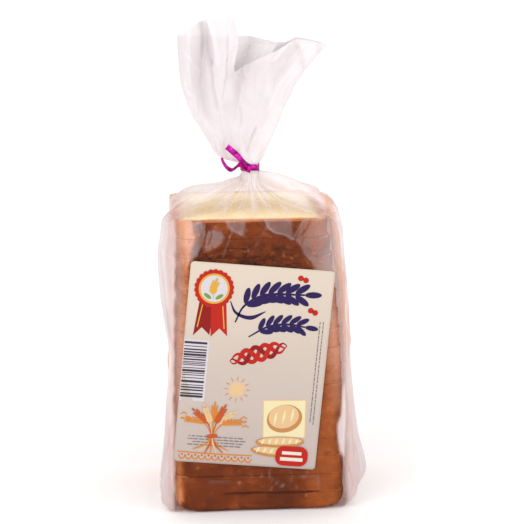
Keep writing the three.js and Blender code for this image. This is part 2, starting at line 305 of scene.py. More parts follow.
NECK_RADIUS = 5.1
NECK_X = -2.4
NECK_BOTTOM = LOAF_TOP + SHOULDER_HEIGHT
NECK_TOP = NECK_BOTTOM + 5.2

# The fan's edges: height, left end, right end
FAN_EDGES = [
    [NECK_TOP, NECK_X - NECK_RADIUS, NECK_X + NECK_RADIUS], [214.5, -19.3, 5], [219, -24.4, 7.2],
    [224, -27.6, 9.6], [231, -31.8, 13], [238.5, -36.5, 16.2], [246, -40.1, 18.9],
    [253.4, -42.5, 22.9], [260.8, -44.9, 26], [268, -45.6, 31.2], [275.6, -46.2, 37],
    [284.5, -46.6, 45],
]
# The open end's edge in the front and in the back layer: share of the way across, height
FRONT_RIM = [
    [0, 290.5], [0.11, 297.5], [0.34, 304], [0.375, 300], [0.4, 289], [0.415, 272], [0.44, 268],
    [0.535, 273], [0.725, 285.5], [0.8, 287.5], [0.9, 286.5], [1, 284.5],
]
BACK_RIM = [
    [0, 290.5], [0.2, 290], [0.4, 290], [0.6, 287], [0.725, 285.5], [0.8, 288], [0.9, 286.5],
    [1, 284.5],
]


def loaf_middle(z):
    return LOAF_LEAN * np.clip(z / LOAF_TOP, 0, 1) ** LEANING


def loaf_half_width(z):
    share = np.clip(z / LOAF_TOP, 0, 1) ** NARROWING
    return HALF_WIDTH_FOOT + (HALF_WIDTH_TOP - HALF_WIDTH_FOOT) * share


# %% [markdown]
# ## The slices
# A sandwich loaf is baked in a lidded tin, so its slices are nearly square, with a thin brown
# crust round a pale crumb. One slice is modelled as rings from the middle of its upper face
# over the crust to the middle of its lower face. Geometry Nodes then stack it: every slice is
# the same shape at a slightly different place, turn and width, which is what a rule does well.

# %% One slice
CRUST_RADIUS = 10.5
SLICE_HALF = 47.6
SLICE_GAP = 0.06
SLICE_THICKNESS = SLICE_PITCH - SLICE_GAP
SLICE_EDGE = 0.18
SLICE_FOOT = 0.45  # over the floor, inside the film
LOWEST_BREAD = 0.25  # over the floor too, once the crust is rough
BREAD_GAP = 0.9  # between bread and film, at each side
SIDE_DISH = 0.5  # how far a slice's side pulls in at its middle
CRUMB_REACH = 0.965  # of the slice's half, where the crust's edge begins


def slice_outline(count):
    """Points round a square with round corners and sides that pull in a little."""
    straight = SLICE_HALF - CRUST_RADIUS
    points = []
    for corner, (sx, sy) in enumerate([(1, -1), (1, 1), (-1, 1), (-1, -1)]):
        for i in range(count // 8):
            turn = math.radians(-90 + 90 * corner + 90 * i / (count // 8))
            points.append((sx * straight + CRUST_RADIUS * math.cos(turn),
                           sy * straight + CRUST_RADIUS * math.sin(turn)))
        for i in range(count // 8):
            along = -1 + 2 * i / (count // 8)
            side = SLICE_HALF - SIDE_DISH * (1 - along * along)
            next_side = [(side, along * straight), (-along * straight, side),
                         (-side, -along * straight), (along * straight, -side)][corner]
            points.append(next_side)
    return np.array(points)


def slice_mesh(name, material):
    outline = slice_outline(112)
    profile = [(scale, 0.0) for scale in (0.0, 0.3, 0.6, 0.85, 0.955)]
    edge = [(1 - SLICE_EDGE / SLICE_HALF * (1 - math.sin(t)), SLICE_EDGE * (1 - math.cos(t)))
            for t in np.linspace(0, math.pi / 2, 4)]
    upper = profile + edge
    wall = [(1.0, SLICE_THICKNESS * s) for s in (0.15, 0.3, 0.45, 0.6, 0.75, 0.88)]
    lower = [(r, SLICE_THICKNESS - down) for r, down in reversed(upper)]
    rings = (upper + wall + lower)[1:-1]
    points = [(0, 0, SLICE_THICKNESS)]
    for scale, down in rings:
        points += [(x * scale, y * scale, SLICE_THICKNESS - down) for x, y in outline]
    points.append((0, 0, 0))
    n = len(outline)
    faces = [(0, 1 + (i + 1) % n, 1 + i)[::-1] for i in range(n)]
    faces += [face[::-1] for face in grid_faces(len(rings), n, closed=True, first=1)]
    last = 1 + n * (len(rings) - 1)
    faces += [(len(points) - 1, last + i, last + (i + 1) % n)[::-1] for i in range(n)]
    points = np.array(points) + [0, 0, SLICE_FOOT]
    piece = add_mesh(name, points, faces, [material])
    crumb = piece.data.attributes.new("crumb", "BOOLEAN", "FACE")
    reach = [max(abs(p.center.x), abs(p.center.y)) / MM for p in piece.data.polygons]
    flat = [abs(p.normal.z) > 0.9 for p in piece.data.polygons]
    limit = SLICE_HALF * CRUMB_REACH
    crumb.data.foreach_set("value", [f and r < limit for f, r in zip(flat, reach)])
    return piece


# %% [markdown]
# ## Crust and crumb
# The crust is dark where the tin was hottest, on the wide faces, and golden at the corners
# and sides. It is a little leathery, with small dark flecks. The crumb is cream coloured and
# open, with pores of many sizes. Both finishes read Object coordinates: noise takes them in
# metres, and places on the loaf are given in millimetres.

# %% Crust and crumb finish
CRUST_TONES = [
    (0.0, srgb(228, 160, 116)), (0.2, srgb(196, 122, 76)), (0.45, srgb(152, 80, 34)),
    (0.7, srgb(112, 50, 15)), (1.0, srgb(66, 27, 9)),
]
BAKED_TONE = 0.705
GOLD_TONE = 0.065
LOW_SEAM = 12.2  # the one dark seam that shows between two slices


def place(nodes):
    """A point of the piece as a vector in metres, and its X, Y and Z in millimetres."""
    at = nodes.add("ShaderNodeTexCoord", out="Object")
    split = nodes.add("ShaderNodeSeparateXYZ", {}, {0: at})
    return at, *[Value(nodes, split.socket.node.outputs[i]) / MM for i in range(3)]


def noise_at(nodes, at, scale, detail=3, rough=0.5):
    sockets = {"Vector": at, "Scale": scale, "Detail": detail, "Roughness": rough}
    return nodes.add("ShaderNodeTexNoise", {}, sockets)


def golden_places(x, y, z, ragged):
    """Where the crust baked pale: beside the upright edges, at the sides and at the top."""
    left_rim = (x - z * 0.042 + ragged * 0.5).step(-46.5, -51)
    left_rim = left_rim * (z.step(145, 175) * 0.2 + 0.9)
    right_rim = (x + abs(z - 88) * 0.14 + ragged).step(30, 50)
    right_rim = right_rim * (z.step(45, 115) * 0.4 + 0.42) * (1 - z.step(145, 162) * 0.45)
    on_side = (abs(y) + ragged * 0.5).step(44.5, 36) * 0.8
    top_rim = z.step(182.6, 184) * 0.7
    gold = left_rim.math("MAXIMUM", right_rim).math("MAXIMUM", on_side)
    return gold.math("MAXIMUM", top_rim)


def crust_finish():
    material, nodes = new_finish("browned crust")
    at, x, y, z = place(nodes)
    broad = noise_at(nodes, at, 26)
    blotch = noise_at(nodes, at, 110, 5, 0.6)
    grain = noise_at(nodes, at, 480, 3, 0.65)
    layers = noise_at(nodes, nodes.vector(X=x * 0.22, Y=y * 0.22, Z=z), 0.3, 3, 0.6)
    ragged = (blotch - 0.5) * 10 + (broad - 0.5) * 12
    gold = golden_places(x, y, z, ragged)
    bent = nodes.vector(X=x * 0.5 + (blotch - 0.5) * 4, Y=y * 0.5, Z=z + (broad - 0.5) * 6)
    wrinkle = abs(noise_at(nodes, bent, 0.21) - 0.5).step(0.035, 0.0) * (1 - gold)
    leathery = z.between(118, 140, 166, 172)
    mottle = (broad - 0.5) * 0.5 + (blotch - 0.5) * (0.5 + leathery * 0.5)
    mottle = mottle + (grain - 0.5) * (0.35 + leathery * 0.3) + (layers - 0.5) * 0.22
    seam = abs(z - LOW_SEAM + ragged * 0.12).step(1.1, 0.3) * x.between(-30, -10, 30, 40)
    foot = z.step(26, 10) * (0.07 - gold * 0.12)
    tone = gold * (GOLD_TONE - BAKED_TONE) + BAKED_TONE + leathery * 0.08 + seam * 0.36
    tone = tone + mottle * (1 - gold * 0.45) + wrinkle * (leathery * 0.22 + 0.05) + foot
    fleck = noise_at(nodes, at, 330, 2)
    color = nodes.mix(fleck.step(0.64, 0.76) * 0.4, nodes.ramp(tone, CRUST_TONES), srgb(70, 32, 16))
    color = nodes.mix(fleck.step(0.36, 0.25) * 0.26, color, srgb(206, 140, 96))
    height = blotch * 0.6 + grain * 0.4 - wrinkle * leathery * 0.5
    nodes.show_solid({
        "Base Color": color, "Roughness": 0.75, "Specular IOR Level": 0.12,
        "Normal": nodes.bump(0.6, 0.001, height),
    })
    return material


def crumb_finish():
    material, nodes = new_finish("open crumb")
    at, x, y, _ = place(nodes)
    small, large = [
        nodes.add("ShaderNodeTexVoronoi", {}, {"Vector": at, "Scale": scale, "Randomness": 1})
        for scale in (520, 190)
    ]
    broad = noise_at(nodes, at, 60)
    pores = small.step(0.42, 0.12) * 0.6 + large.step(0.3, 0.05) * broad.step(0.4, 0.7)
    color = nodes.mix(pores * 0.35, srgb(255, 239, 190), srgb(226, 186, 118))
    color = nodes.mix(broad.step(0.35, 0.75) * 0.4, color, srgb(252, 224, 150))
    from_middle = (abs(x + 4) + x.step(20, 30) * 3).math("MAXIMUM", abs(y))
    near_crust = (from_middle + (broad - 0.5) * 4).step(39.5, 45.5)
    nodes.show_solid({
        "Base Color": nodes.mix(near_crust * 0.75, color, srgb(196, 138, 84)),
        "Roughness": 0.85, "Normal": nodes.bump(0.6, 0.0008, 1 - pores),
    })
    return material


crust = crust_finish()
crumb = crumb_finish()

# %% [markdown]
# ## The stack
# A loop in Python could copy the slice sixteen times, but a node tree keeps the rule itself:
# count, pitch, lean, taper, scatter and turn are inputs with names, and the scatter comes from
# fixed seeds. The stack is then taken out as a plain mesh, and its heel is rounded and its
# crust made uneven.

# %% Stack of slices
def stack_tree(cut_material):
    """Geometry Nodes: stacks the slice that comes in, with small shifts, turns and a taper."""
    tree = bpy.data.node_groups.new("stack of slices", "GeometryNodeTree")
    sockets = {}
    for name, kind, value in [
        ("Slice", "Geometry", None), ("Count", "Int", SLICES), ("Pitch", "Float", SLICE_PITCH * MM),
        ("Lean", "Float", LOAF_LEAN * MM), ("Foot scale", "Float", 1.0),
        ("Top scale", "Float", 1.0), ("Scatter", "Float", 0.0005), ("Turn", "Float", 0.008),
    ]:
        socket = tree.interface.new_socket(name, in_out="INPUT", socket_type="NodeSocket" + kind)
        sockets[name] = socket
        if value is not None:
            socket.default_value = value
    tree.interface.new_socket("Stack", in_out="OUTPUT", socket_type="NodeSocketGeometry")
    nodes = Nodes(tree)
    start = nodes.add("NodeGroupInput").socket.node
    given = {socket.name: Value(nodes, socket) for socket in start.outputs if socket.name}
    line = nodes.add("GeometryNodeMeshLine", {"mode": "OFFSET"}, {
        "Count": given["Count"], "Offset": nodes.vector(Z=given["Pitch"]),
    })
    index = nodes.add("GeometryNodeInputIndex")
    share = index / (given["Count"] - 1)
    least, most, number = 2, 3, 1  # the random node's sockets for plain numbers
    across, deep, spin = [
        nodes.add("FunctionNodeRandomValue", {"data_type": "FLOAT"},
                  {least: -1.0, most: 1.0, "Seed": seed}, number)
        for seed in (4, 9, 21)
    ]
    shift = nodes.vector(X=given["Lean"] * share ** LEANING + given["Scatter"] * across,
                         Y=given["Scatter"] * deep * 0.5)
    points = nodes.add("GeometryNodeSetPosition", {}, {"Geometry": line, "Offset": shift})
    taper = given["Foot scale"] + (given["Top scale"] - given["Foot scale"]) * share ** NARROWING
    placed = nodes.add("GeometryNodeInstanceOnPoints", {}, {
        "Points": points, "Instance": given["Slice"],
        "Rotation": nodes.vector(Z=given["Turn"] * spin),
        "Scale": nodes.vector(X=taper, Y=1.0, Z=1.0),
    })
    real = nodes.add("GeometryNodeRealizeInstances", {}, {"Geometry": placed})
    flag = nodes.add("GeometryNodeInputNamedAttribute", {"data_type": "BOOLEAN"}, {"Name": "crumb"})
    cut = nodes.add("GeometryNodeSetMaterial", {}, {
        "Geometry": real, "Selection": flag, "Material": cut_material,
    })
    nodes.add("NodeGroupOutput", {}, {"Stack": cut})
    return tree, sockets


def run_tree(piece, tree, sockets, values):
    """Runs a Geometry Nodes tree on a piece, which keeps the result as its mesh."""
    modifier = piece.modifiers.new("tree", "NODES")
    modifier.node_group = tree
    for name, value in values.items():
        modifier[sockets[name].identifier] = value
    shown = piece.evaluated_get(bpy.context.evaluated_depsgraph_get())
    mesh = bpy.data.meshes.new_from_object(shown)
    piece.modifiers.clear()
    piece.data = mesh


def get_points(mesh):
    at = np.empty(len(mesh.vertices) * 3)
    mesh.vertices.foreach_get("co", at)
    return at.reshape(-1, 3)


def roughen(piece, height, size, seed):
    """Moves each point along its normal by smooth noise."""
    mesh = piece.data
    at = get_points(mesh)
    normals = np.array([tuple(v.normal) for v in mesh.vertices])
    lift = soft_noise(at / MM, size, seed) + 0.5 * soft_noise(at / MM, size / 2.7, seed + 1)
    at += normals * (lift * height * MM)[:, None]
    at[:, 2] = np.maximum(at[:, 2], LOWEST_BREAD * MM)
    mesh.vertices.foreach_set("co", at.ravel())
    mesh.update()


def round_heel(piece, across, deep):
    """Rounds the lower edge of the lowest slice, which is the loaf's heel."""
    at = get_points(piece.data)
    for axis, radius, half in ((0, across, HALF_WIDTH_FOOT), (1, deep, SLICE_HALF)):
        share = np.clip(1 - at[:, 2] / (radius * MM), 0, 0.98)
        at[:, axis] *= 1 - radius / half * (1 - np.sqrt(1 - share ** 2))
    piece.data.vertices.foreach_set("co", at.ravel())


loaf = slice_mesh("loaf_slices", crust)
tree, stack_sockets = stack_tree(crumb)
run_tree(loaf, tree, stack_sockets, {
    "Foot scale": (HALF_WIDTH_FOOT - BREAD_GAP) / SLICE_HALF,
    "Top scale": (HALF_WIDTH_TOP - BREAD_GAP) / SLICE_HALF,
})
round_heel(loaf, across=9, deep=5)
roughen(loaf, height=0.28, size=9, seed=3)
print("loaf:", len(loaf.data.polygons), "faces,", [m.name for m in loaf.data.materials])

# %% [markdown]
# ## The film's base shape
# The bag is a tube of film, welded shut under the loaf. It is tight over the front, hangs in
# a fold beside each edge, closes in over the top like a tent, is squeezed together at the
# neck and spreads out above it. All of that is one surface: rows of points go up the bag,
# and each row runs from the left fold over the front to the right fold and home at the back.

# %% Rows of the bag
FRONT_STEPS = 190
BACK_STEPS = 190
COLUMNS = FRONT_STEPS + BACK_STEPS


def bend(start, control, end, count):
    t = np.linspace(0, 1, count)[:, None]
    return (1 - t) ** 2 * start + 2 * t * (1 - t) * control + t ** 2 * end


def fold_paths(sign, z, inset):
    """From the fold's edge to the flat front, and from the fold's edge to the loaf's side."""
    middle = loaf_middle(z)
    half = loaf_half_width(z) - inset
    edge = middle + sign * half
    reach = stations(RIGHT_REACH if sign > 0 else LEFT_REACH, z)
    reach = max(reach, sign * edge + LEAST_FOLD)
    tip = np.array([sign * reach, RIGHT_FOLD_Y if sign > 0 else LEFT_FOLD_Y])
    flat = np.array([middle + sign * (half - FOLD_FLAT_INSET), inset - HALF_DEPTH])
    rounding = np.array([sign * (reach - FOLD_ROUNDING), inset - HALF_DEPTH])
    tuck = np.array([edge + sign * FOLD_TUCK[0], tip[1] + FOLD_TUCK[1]])
    side = np.array([edge, FOLD_END_Y])
    return bend(tip, rounding, flat, FOLD_STEPS), bend(tip, tuck, side, FOLD_STEPS)


def back_corner(sign, z, inset):
    half = loaf_half_width(z) - inset
    turn = np.linspace(0, math.pi / 2, 10)[:, None]
    x = loaf_middle(z) + sign * (half - CORNER_RADIUS + CORNER_RADIUS * np.cos(turn))
    y = HALF_DEPTH - inset - CORNER_RADIUS + CORNER_RADIUS * np.sin(turn)
    return np.hstack([x, y])


def resample(path, count):
    """Evenly spaced points along a path, both ends kept."""
    length = np.concatenate([[0], np.cumsum(np.linalg.norm(np.diff(path, axis=0), axis=1))])
    at = np.linspace(0, length[-1], count)
    return np.stack([np.interp(at, length, path[:, i]) for i in range(path.shape[1])], axis=1)


def body_row(z, inset=0.0):
    """One closed row round the loaf, as x and y."""
    left_front, left_side = fold_paths(-1, z, inset)
    right_front, right_side = fold_paths(1, z, inset)
    front = np.vstack([left_front, right_front[::-1]])
    behind = np.vstack([
        left_side, back_corner(-1, z, inset), back_corner(1, z, inset)[::-1], right_side[::-1],
    ])
    return np.vstack([resample(front, FRONT_STEPS + 1), resample(behind, BACK_STEPS + 1)[-2:0:-1]])


# Each column's share of the way from the left fold to the right one, and its half of the bag
front_share = np.linspace(0, 1, FRONT_STEPS + 1)
back_share = np.linspace(0, 1, BACK_STEPS + 1)[-2:0:-1]
SHARE = np.concatenate([front_share, back_share])
IS_FRONT = np.arange(COLUMNS) <= FRONT_STEPS
SIDE = np.where(IS_FRONT, -1.0, 1.0)
IN_FRONT = SIDE[None, :] < 0
TURN = np.where(IS_FRONT, SHARE, 2 - SHARE)

# %% [markdown]
# ## Pleats
# Where a wide tube is squeezed into a narrow neck, the spare film stands up in pleats that
# all run to the neck. They are sharp on top, wide and few at the rim and fine and many close
# to the ribbon. A triangle wave with an uneven spacing gives that edge.

# %% Pleats of the shoulders and the fan
# How many pleats lie in each half of the bag, a seed for their spacing, and their height
WIDE_PLEATS = (9, 2.2, 3.2)
FINE_PLEATS = (13, 5.1, 1.4)
TIED_PLEATS = (15, 1.3, 0.7)
FAN_PLEATS = (7, 7.7, 1.5)
PLEAT_SHARPNESS = 1.4
PLEAT_UNEVENNESS = 0.35  # of one pleat


def pleats(turn, count, seed, height):
    """Sharp-topped waves, some stretches of them wider and some narrower."""
    wobble = sum(math.sin(seed + k) * np.sin(math.pi * k * turn + seed * k) / k
                 for k in (1, 2, 3, 5))
    phase = (turn + PLEAT_UNEVENNESS / count * wobble) * count
    triangle = 1 - 2 * np.abs(phase % 1 - 0.5)
    return (triangle ** PLEAT_SHARPNESS - 0.5) * height


ROUND_BELOW = 0.3  # of the width, where the rows begin to turn into circles


def shoulder_row(height):
    """One row between the loaf's top edge (0) and the neck (1)."""
    start = body_row(LOAF_TOP)
    outward = start - np.array([loaf_middle(LOAF_TOP), 0])
    slope = outward[:, 1] / np.maximum(np.abs(outward[:, 0]), 1)
    sideways = between(slope, *RIDGE)
    left, right = stations(LEFT_SHOULDER, height), stations(RIGHT_SHOULDER, height)
    side = np.where(outward[:, 0] > 0, right, left)
    inwards = stations(FRONT_SHOULDER, height) * (1 - sideways) + side * sideways
    middle = loaf_middle(LOAF_TOP) * inwards + NECK_X * (1 - inwards)
    rounded = smoothstep(inwards, ROUND_BELOW, NECK_SHARE)
    angle = math.pi * SHARE
    x = (middle + outward[:, 0] * inwards) * (1 - rounded)
    x += (NECK_X - NECK_RADIUS * np.cos(angle)) * rounded
    y = outward[:, 1] * inwards * (1 - rounded) + SIDE * NECK_RADIUS * np.sin(angle) * rounded
    return np.stack([x, y, np.full(COLUMNS, LOAF_TOP + SHOULDER_HEIGHT * height)], axis=1)


# How the fan sways to the front and to the back: share of the way across, share of the swing
FAN_FOLDS = [
    [0, 0.1], [0.08, -0.55], [0.18, 0.45], [0.34, -0.95], [0.5, 0.7], [0.66, -0.5], [0.83, 0.55],
    [1, -0.1],
]
FAN_SWING = 12
FAN_SWING_TOP = 285
FAN_GAP = 8  # between its front and its back layer
FAN_OPENING = 16  # how far above the neck it is spread out flat


def fan_row(up):
    """One row between the neck (0) and the bag's open end (1)."""
    rim = np.where(IS_FRONT, stations(FRONT_RIM, SHARE), stations(BACK_RIM, SHARE))
    z = NECK_TOP + (rim - NECK_TOP) * up
    left = stations(FAN_EDGES, z, 1)
    right = stations(FAN_EDGES, z, 2)
    opened = smoothstep(z, NECK_TOP, NECK_TOP + FAN_OPENING)
    round_x = (left + right) / 2 - (right - left) / 2 * np.cos(math.pi * SHARE)
    x = round_x * (1 - opened) + (left + (right - left) * SHARE) * opened
    round_y = SIDE * NECK_RADIUS * np.sin(math.pi * SHARE)
    gap = FAN_GAP * np.sqrt(1 - (2 * SHARE - 1) ** 6)
    folds = stations(FAN_FOLDS, SHARE)
    y = round_y * (1 - opened) + SIDE * gap / 2 * opened
    y = y + FAN_SWING * smoothstep(z, NECK_TOP, FAN_SWING_TOP) * folds
    return np.stack([x, y, z], axis=1)


# %% [markdown]
# ## The whole bag, row by row
# A crease only shows where there are points to carry it. So the rows are closer together
# where the film is creased over the top slices, and where it bends on its way to the neck.

# %% Base surface of the film
LOW_ROWS = 76
HIGH_ROWS = 62  # closer together, where the film is creased over the bread
HIGH_FROM = 146
SHOULDER_ROWS = 34
NECK_ROWS = 4
FAN_ROWS = 78
SHOULDER_SPACING = 1.35  # over 1, the rows are closer together low down
FAN_SPACING = 1.15
FOOT_INSET = 4
FOOT_GAP = 0.2
FOOT_CURVE = 5
FILM_LIFT = 0.12  # over the floor


def film_rows():
    rows = []
    middle = np.array([loaf_middle(0), 0])
    for scale in (0.15, 0.4, 0.65, 0.85):
        foot = middle + (body_row(0, FOOT_INSET + FOOT_GAP) - middle) * scale
        rows.append(np.column_stack([foot, np.full(COLUMNS, FILM_LIFT)]))
    for turn in np.linspace(0, math.pi / 2, 6)[:-1]:
        inset = FOOT_INSET * (1 - math.sin(turn)) + FOOT_GAP
        z = FILM_LIFT + FOOT_CURVE * (1 - math.cos(turn))
        rows.append(np.column_stack([body_row(z, inset), np.full(COLUMNS, z)]))
    low = np.linspace(FOOT_CURVE + 0.6, HIGH_FROM, LOW_ROWS, endpoint=False)
    for z in np.concatenate([low, np.linspace(HIGH_FROM, LOAF_TOP, HIGH_ROWS)]):
        rows.append(np.column_stack([body_row(z), np.full(COLUMNS, z)]))
    for i in range(1, SHOULDER_ROWS + 1):
        rows.append(shoulder_row((i / SHOULDER_ROWS) ** SHOULDER_SPACING))
    neck = rows[-1]
    for i in range(1, NECK_ROWS):
        rows.append(neck + np.array([0, 0, (NECK_TOP - NECK_BOTTOM) * i / NECK_ROWS]))
    for i in range(FAN_ROWS + 1):
        rows.append(fan_row((i / FAN_ROWS) ** FAN_SPACING))
    return np.array(rows)


film = film_rows()
print("film grid:", film.shape)

# %% [markdown]
# ## Folds and creases
# Loose film is never smooth. It buckles along straight creases, and between them it stays
# nearly flat. A crease is modelled as a tent: highest on its line and falling off straight
# to both sides. A few hundred tents of random place and length give the crumpled look of
# thin stiff film. The large folds that give this bag its character are given as
# lines over the front in millimetres: across, height.

# %% Crease fields
CREASES = 520
CREASE_SEED = 11
CREASE_SLANT = 0.5
CREASE_HALF_LENGTHS = (6, 34)
CREASE_WIDTHS = (3, 9)
CREASE_STEEPNESS = 0.12
# The line on a crease's top is painted highlight, or painted shade where the crease sinks.
CREASE_LINE = 1.3  # half the width of the line that shows on its top
BAG_GIRTH = 430.0

# Lines over the fan's front: width, how far it stands out, how dark it is as painted shade (a
# painted highlight where negative), and its points
FAN_LINES = [
    [3.4, -1.6, 0.75, [(-32.5, 300), (-30, 294), (-29.5, 281), (-28, 275)]],
    [2.0, -1.2, 0.7, [(-28, 275), (-27, 267), (-26.5, 259), (-23.5, 246)]],
    [2.0, 1.2, -0.5, [(-28.5, 301), (-26, 294), (-24, 285), (-23, 274)]],
    [1.2, -0.8, 0.7, [(-17.5, 293), (-17.5, 276), (-17, 268), (-18.5, 258), (-20, 252)]],
    [1.4, 0.8, -0.45, [(-43.5, 282), (-38, 275), (-32.5, 267)]],
    [1.4, 0.6, -0.4, [(-43, 265), (-42, 258), (-39, 254)]],
    [1.2, -0.8, 0.8, [(1, 233), (-2, 226), (-4.5, 219)]],
    [1.8, 1, -0.3, [(11.5, 275), (20.5, 285)]],
    [1.8, -0.8, 0.4, [(31, 269), (28, 280), (25.5, 287)]],
    [1.6, 0.6, -0.3, [(-7, 289), (-7, 278), (-5, 266)]],
    [1.2, -0.6, 0.35, [(-36, 236), (-31, 229), (-27, 224)]],
    [1.2, -0.6, 0.35, [(-9, 246), (-8, 240), (-9, 233)]],
]
# Painted highlights on facets of the fan
FAN_HIGHLIGHT_STRENGTH = 0.35
FAN_HIGHLIGHTS = [
    [(-15.5, 293), (-9.5, 290), (-9, 279), (-11.5, 274), (-15, 272), (-16, 279)],
    [(7, 267), (12, 263), (11.5, 252), (7, 253)],
    [(14, 248), (18, 246), (11.5, 229), (4.5, 220), (0, 216), (1, 222), (4.5, 232), (9.5, 240)],
    [(-21, 262), (-14, 265), (-12, 252), (-19, 249)],
]
# Places at the loaf's front top where the film hangs off the crust: how milky, and the outline.
# Their milk is partly the film's bloom and partly a painted reflection of the bright room
LOOSE_BLOOM_AND_SHEEN = [
    [0.2, [(-45.5, 186), (-36.5, 186), (-34.5, 181), (-36, 174), (-37, 167), (-39, 163),
           (-45, 158)]],
    [0.13, [(-34, 178), (-29.5, 179), (-23.5, 178), (-22, 174), (-24, 171), (-29.5, 168),
            (-34, 167)]],
    [0.11, [(-21, 186), (-8.5, 186), (-10.5, 175), (-15, 177), (-19.5, 180)]],
    [0.1, [(2.5, 186), (19, 186), (19, 173), (14.5, 176), (7, 178), (4.5, 181)]],
    [0.12, [(26, 186), (45, 186), (46, 150), (33.5, 152), (31, 158), (27.5, 162), (25, 168),
            (21.5, 172)]],
]
# Painted highlights on the loose folds beside the loaf
FOLD_HIGHLIGHTS = [
    [(52.5, 84), (50.8, 78), (49.8, 62), (47.7, 55), (48, 46), (49.2, 38), (52, 34), (53.5, 60)],
    [(56, 150), (53, 140), (52.5, 120), (54, 118), (55.5, 135)],
    [(-57, 104), (-54, 98), (-54.5, 60), (-56, 56), (-57, 80)],
]
# Thin lines of painted highlight on the front: width, how bright, and the points; a clear line is
# negative, a line of painted dark reflection
GLINT_LINES = [
    [1.0, 0.5, [(2.5, 186), (4.5, 180), (8.5, 177), (14.5, 175.5), (19.5, 172.5)]],
    [0.8, 0.35, [(19.5, 172.5), (22.5, 178), (26, 184)]],
    [0.8, 0.3, [(-33.5, 186), (-34, 178), (-35.5, 169)]],
    [0.8, 0.3, [(-21.5, 186), (-17.5, 179.5), (-12, 176)]],
    [0.8, 0.15, [(-12, 176), (-8.5, 185)]],
    [0.8, 0.3, [(-45, 178), (-39, 183), (-33, 186)]],
    [0.9, 0.25, [(-24, 171), (-29.5, 167.5), (-34, 166)]],
    [0.9, 0.2, [(30, 160), (26, 165), (23, 171)]],
    [1.0, -0.4, [(-31.5, 182), (-33.5, 174), (-34.5, 166)]],
    [0.9, -0.4, [(-30, 184), (-29.5, 175), (-31.5, 170)]],
    [0.9, -0.3, [(-37, 182), (-36, 176), (-38, 170)]],
    [1.0, -0.4, [(30.5, 185), (27.5, 178), (24.5, 175)]],
    [0.8, 0.26, [(5, 26.5), (6, 21.5), (9.5, 18.5), (14.5, 16.5)]],
    [0.8, 0.22, [(23, 23), (30, 21.5), (35.5, 22), (36.5, 17)]],
    [0.7, 0.16, [(-18.5, 25.5), (-8.5, 24.5), (0, 25.5)]],
    [0.7, 0.16, [(-35.5, 21.5), (-25.5, 20), (-14, 21.5), (-12, 17)]],
    [0.7, 0.2, [(17, 28.5), (20, 23), (19, 18)]],
]
# Folds that run over the shoulders to the neck, shown only as lines of milk and painted highlight:
# width, how milky, and the points
SHOULDER_LINES = [
    [3.8, 0.8, [(-9.5, 206), (-16.5, 194), (-26, 180)]],
    [4.2, 0.7, [(-3.5, 206), (-2.5, 192), (-2.5, 180)]],
    [2.6, 0.6, [(-0.5, 206), (3.5, 194), (9, 182)]],
    [3.8, 0.7, [(-10, 206), (-23.5, 200), (-37, 191), (-44, 183)]],
    [4.2, 0.9, [(3.5, 207), (17.5, 199), (30.5, 188), (38, 181)]],
    [2.6, 0.6, [(3.5, 208), (24.5, 202), (40.5, 191)]],
    [1.6, 0.3, [(-6, 204), (-10, 192), (-13, 182)]],
    [1.8, 0.4, [(1.5, 205), (12, 193), (22, 182)]],
]


# %% [markdown]
# ## From lines to fields
# A field is a number at each point of the grid. `near_line` and `inside` make one from a line
# or an outline, and fields can be added and multiplied, so every fold above stays plain data.

# %% Fields over the grid
def grid_normals(rows):
    """Outward normals of a closed grid of points."""
    across = np.roll(rows, -1, axis=1) - np.roll(rows, 1, axis=1)
    up = np.gradient(rows, axis=0)
    normal = np.cross(across, up)
    length = np.linalg.norm(normal, axis=2, keepdims=True)
    return normal / np.maximum(length, 1e-6)


def near_line(x, z, points, width):
    """1 on a line through the points, and falling straight to 0 at `width` from it."""
    best = np.full(x.shape, np.inf)
    for (x0, z0), (x1, z1) in zip(points, points[1:]):
        dx, dz = x1 - x0, z1 - z0
        t = np.clip(((x - x0) * dx + (z - z0) * dz) / (dx * dx + dz * dz), 0, 1)
        best = np.minimum(best, np.hypot(x - x0 - t * dx, z - z0 - t * dz))
    return np.clip(1 - best / width, 0, None)


def inside(x, z, outline, soft=1.0):
    """1 inside an outline and 0 outside, over a soft edge."""
    within = np.zeros(x.shape, bool)
    for (x0, z0), (x1, z1) in zip(outline, outline[1:] + outline[:1]):
        crossing = (z0 > z) != (z1 > z)
        within ^= crossing & (x < (x1 - x0) * (z - z0) / (z1 - z0 + 1e-9) + x0)
    edge = near_line(x, z, outline + outline[:1], soft)
    return np.where(within, 1 - 0.5 * edge, 0.5 * edge)


def add_lines(x, z, table):
    """All the lines of a table of width, strength and points."""
    return sum(strength * near_line(x, z, points, width) for width, strength, points in table)


# %% [markdown]
# ## Creases, pleats and the fan's folds
# The random creases come from one generator with a fixed seed. They are drawn on the film laid
# flat, so that they keep their length and slant wherever the bag bends. How much of them shows
# depends on how loose the film is: hardly at all under the glued label and round the neck.

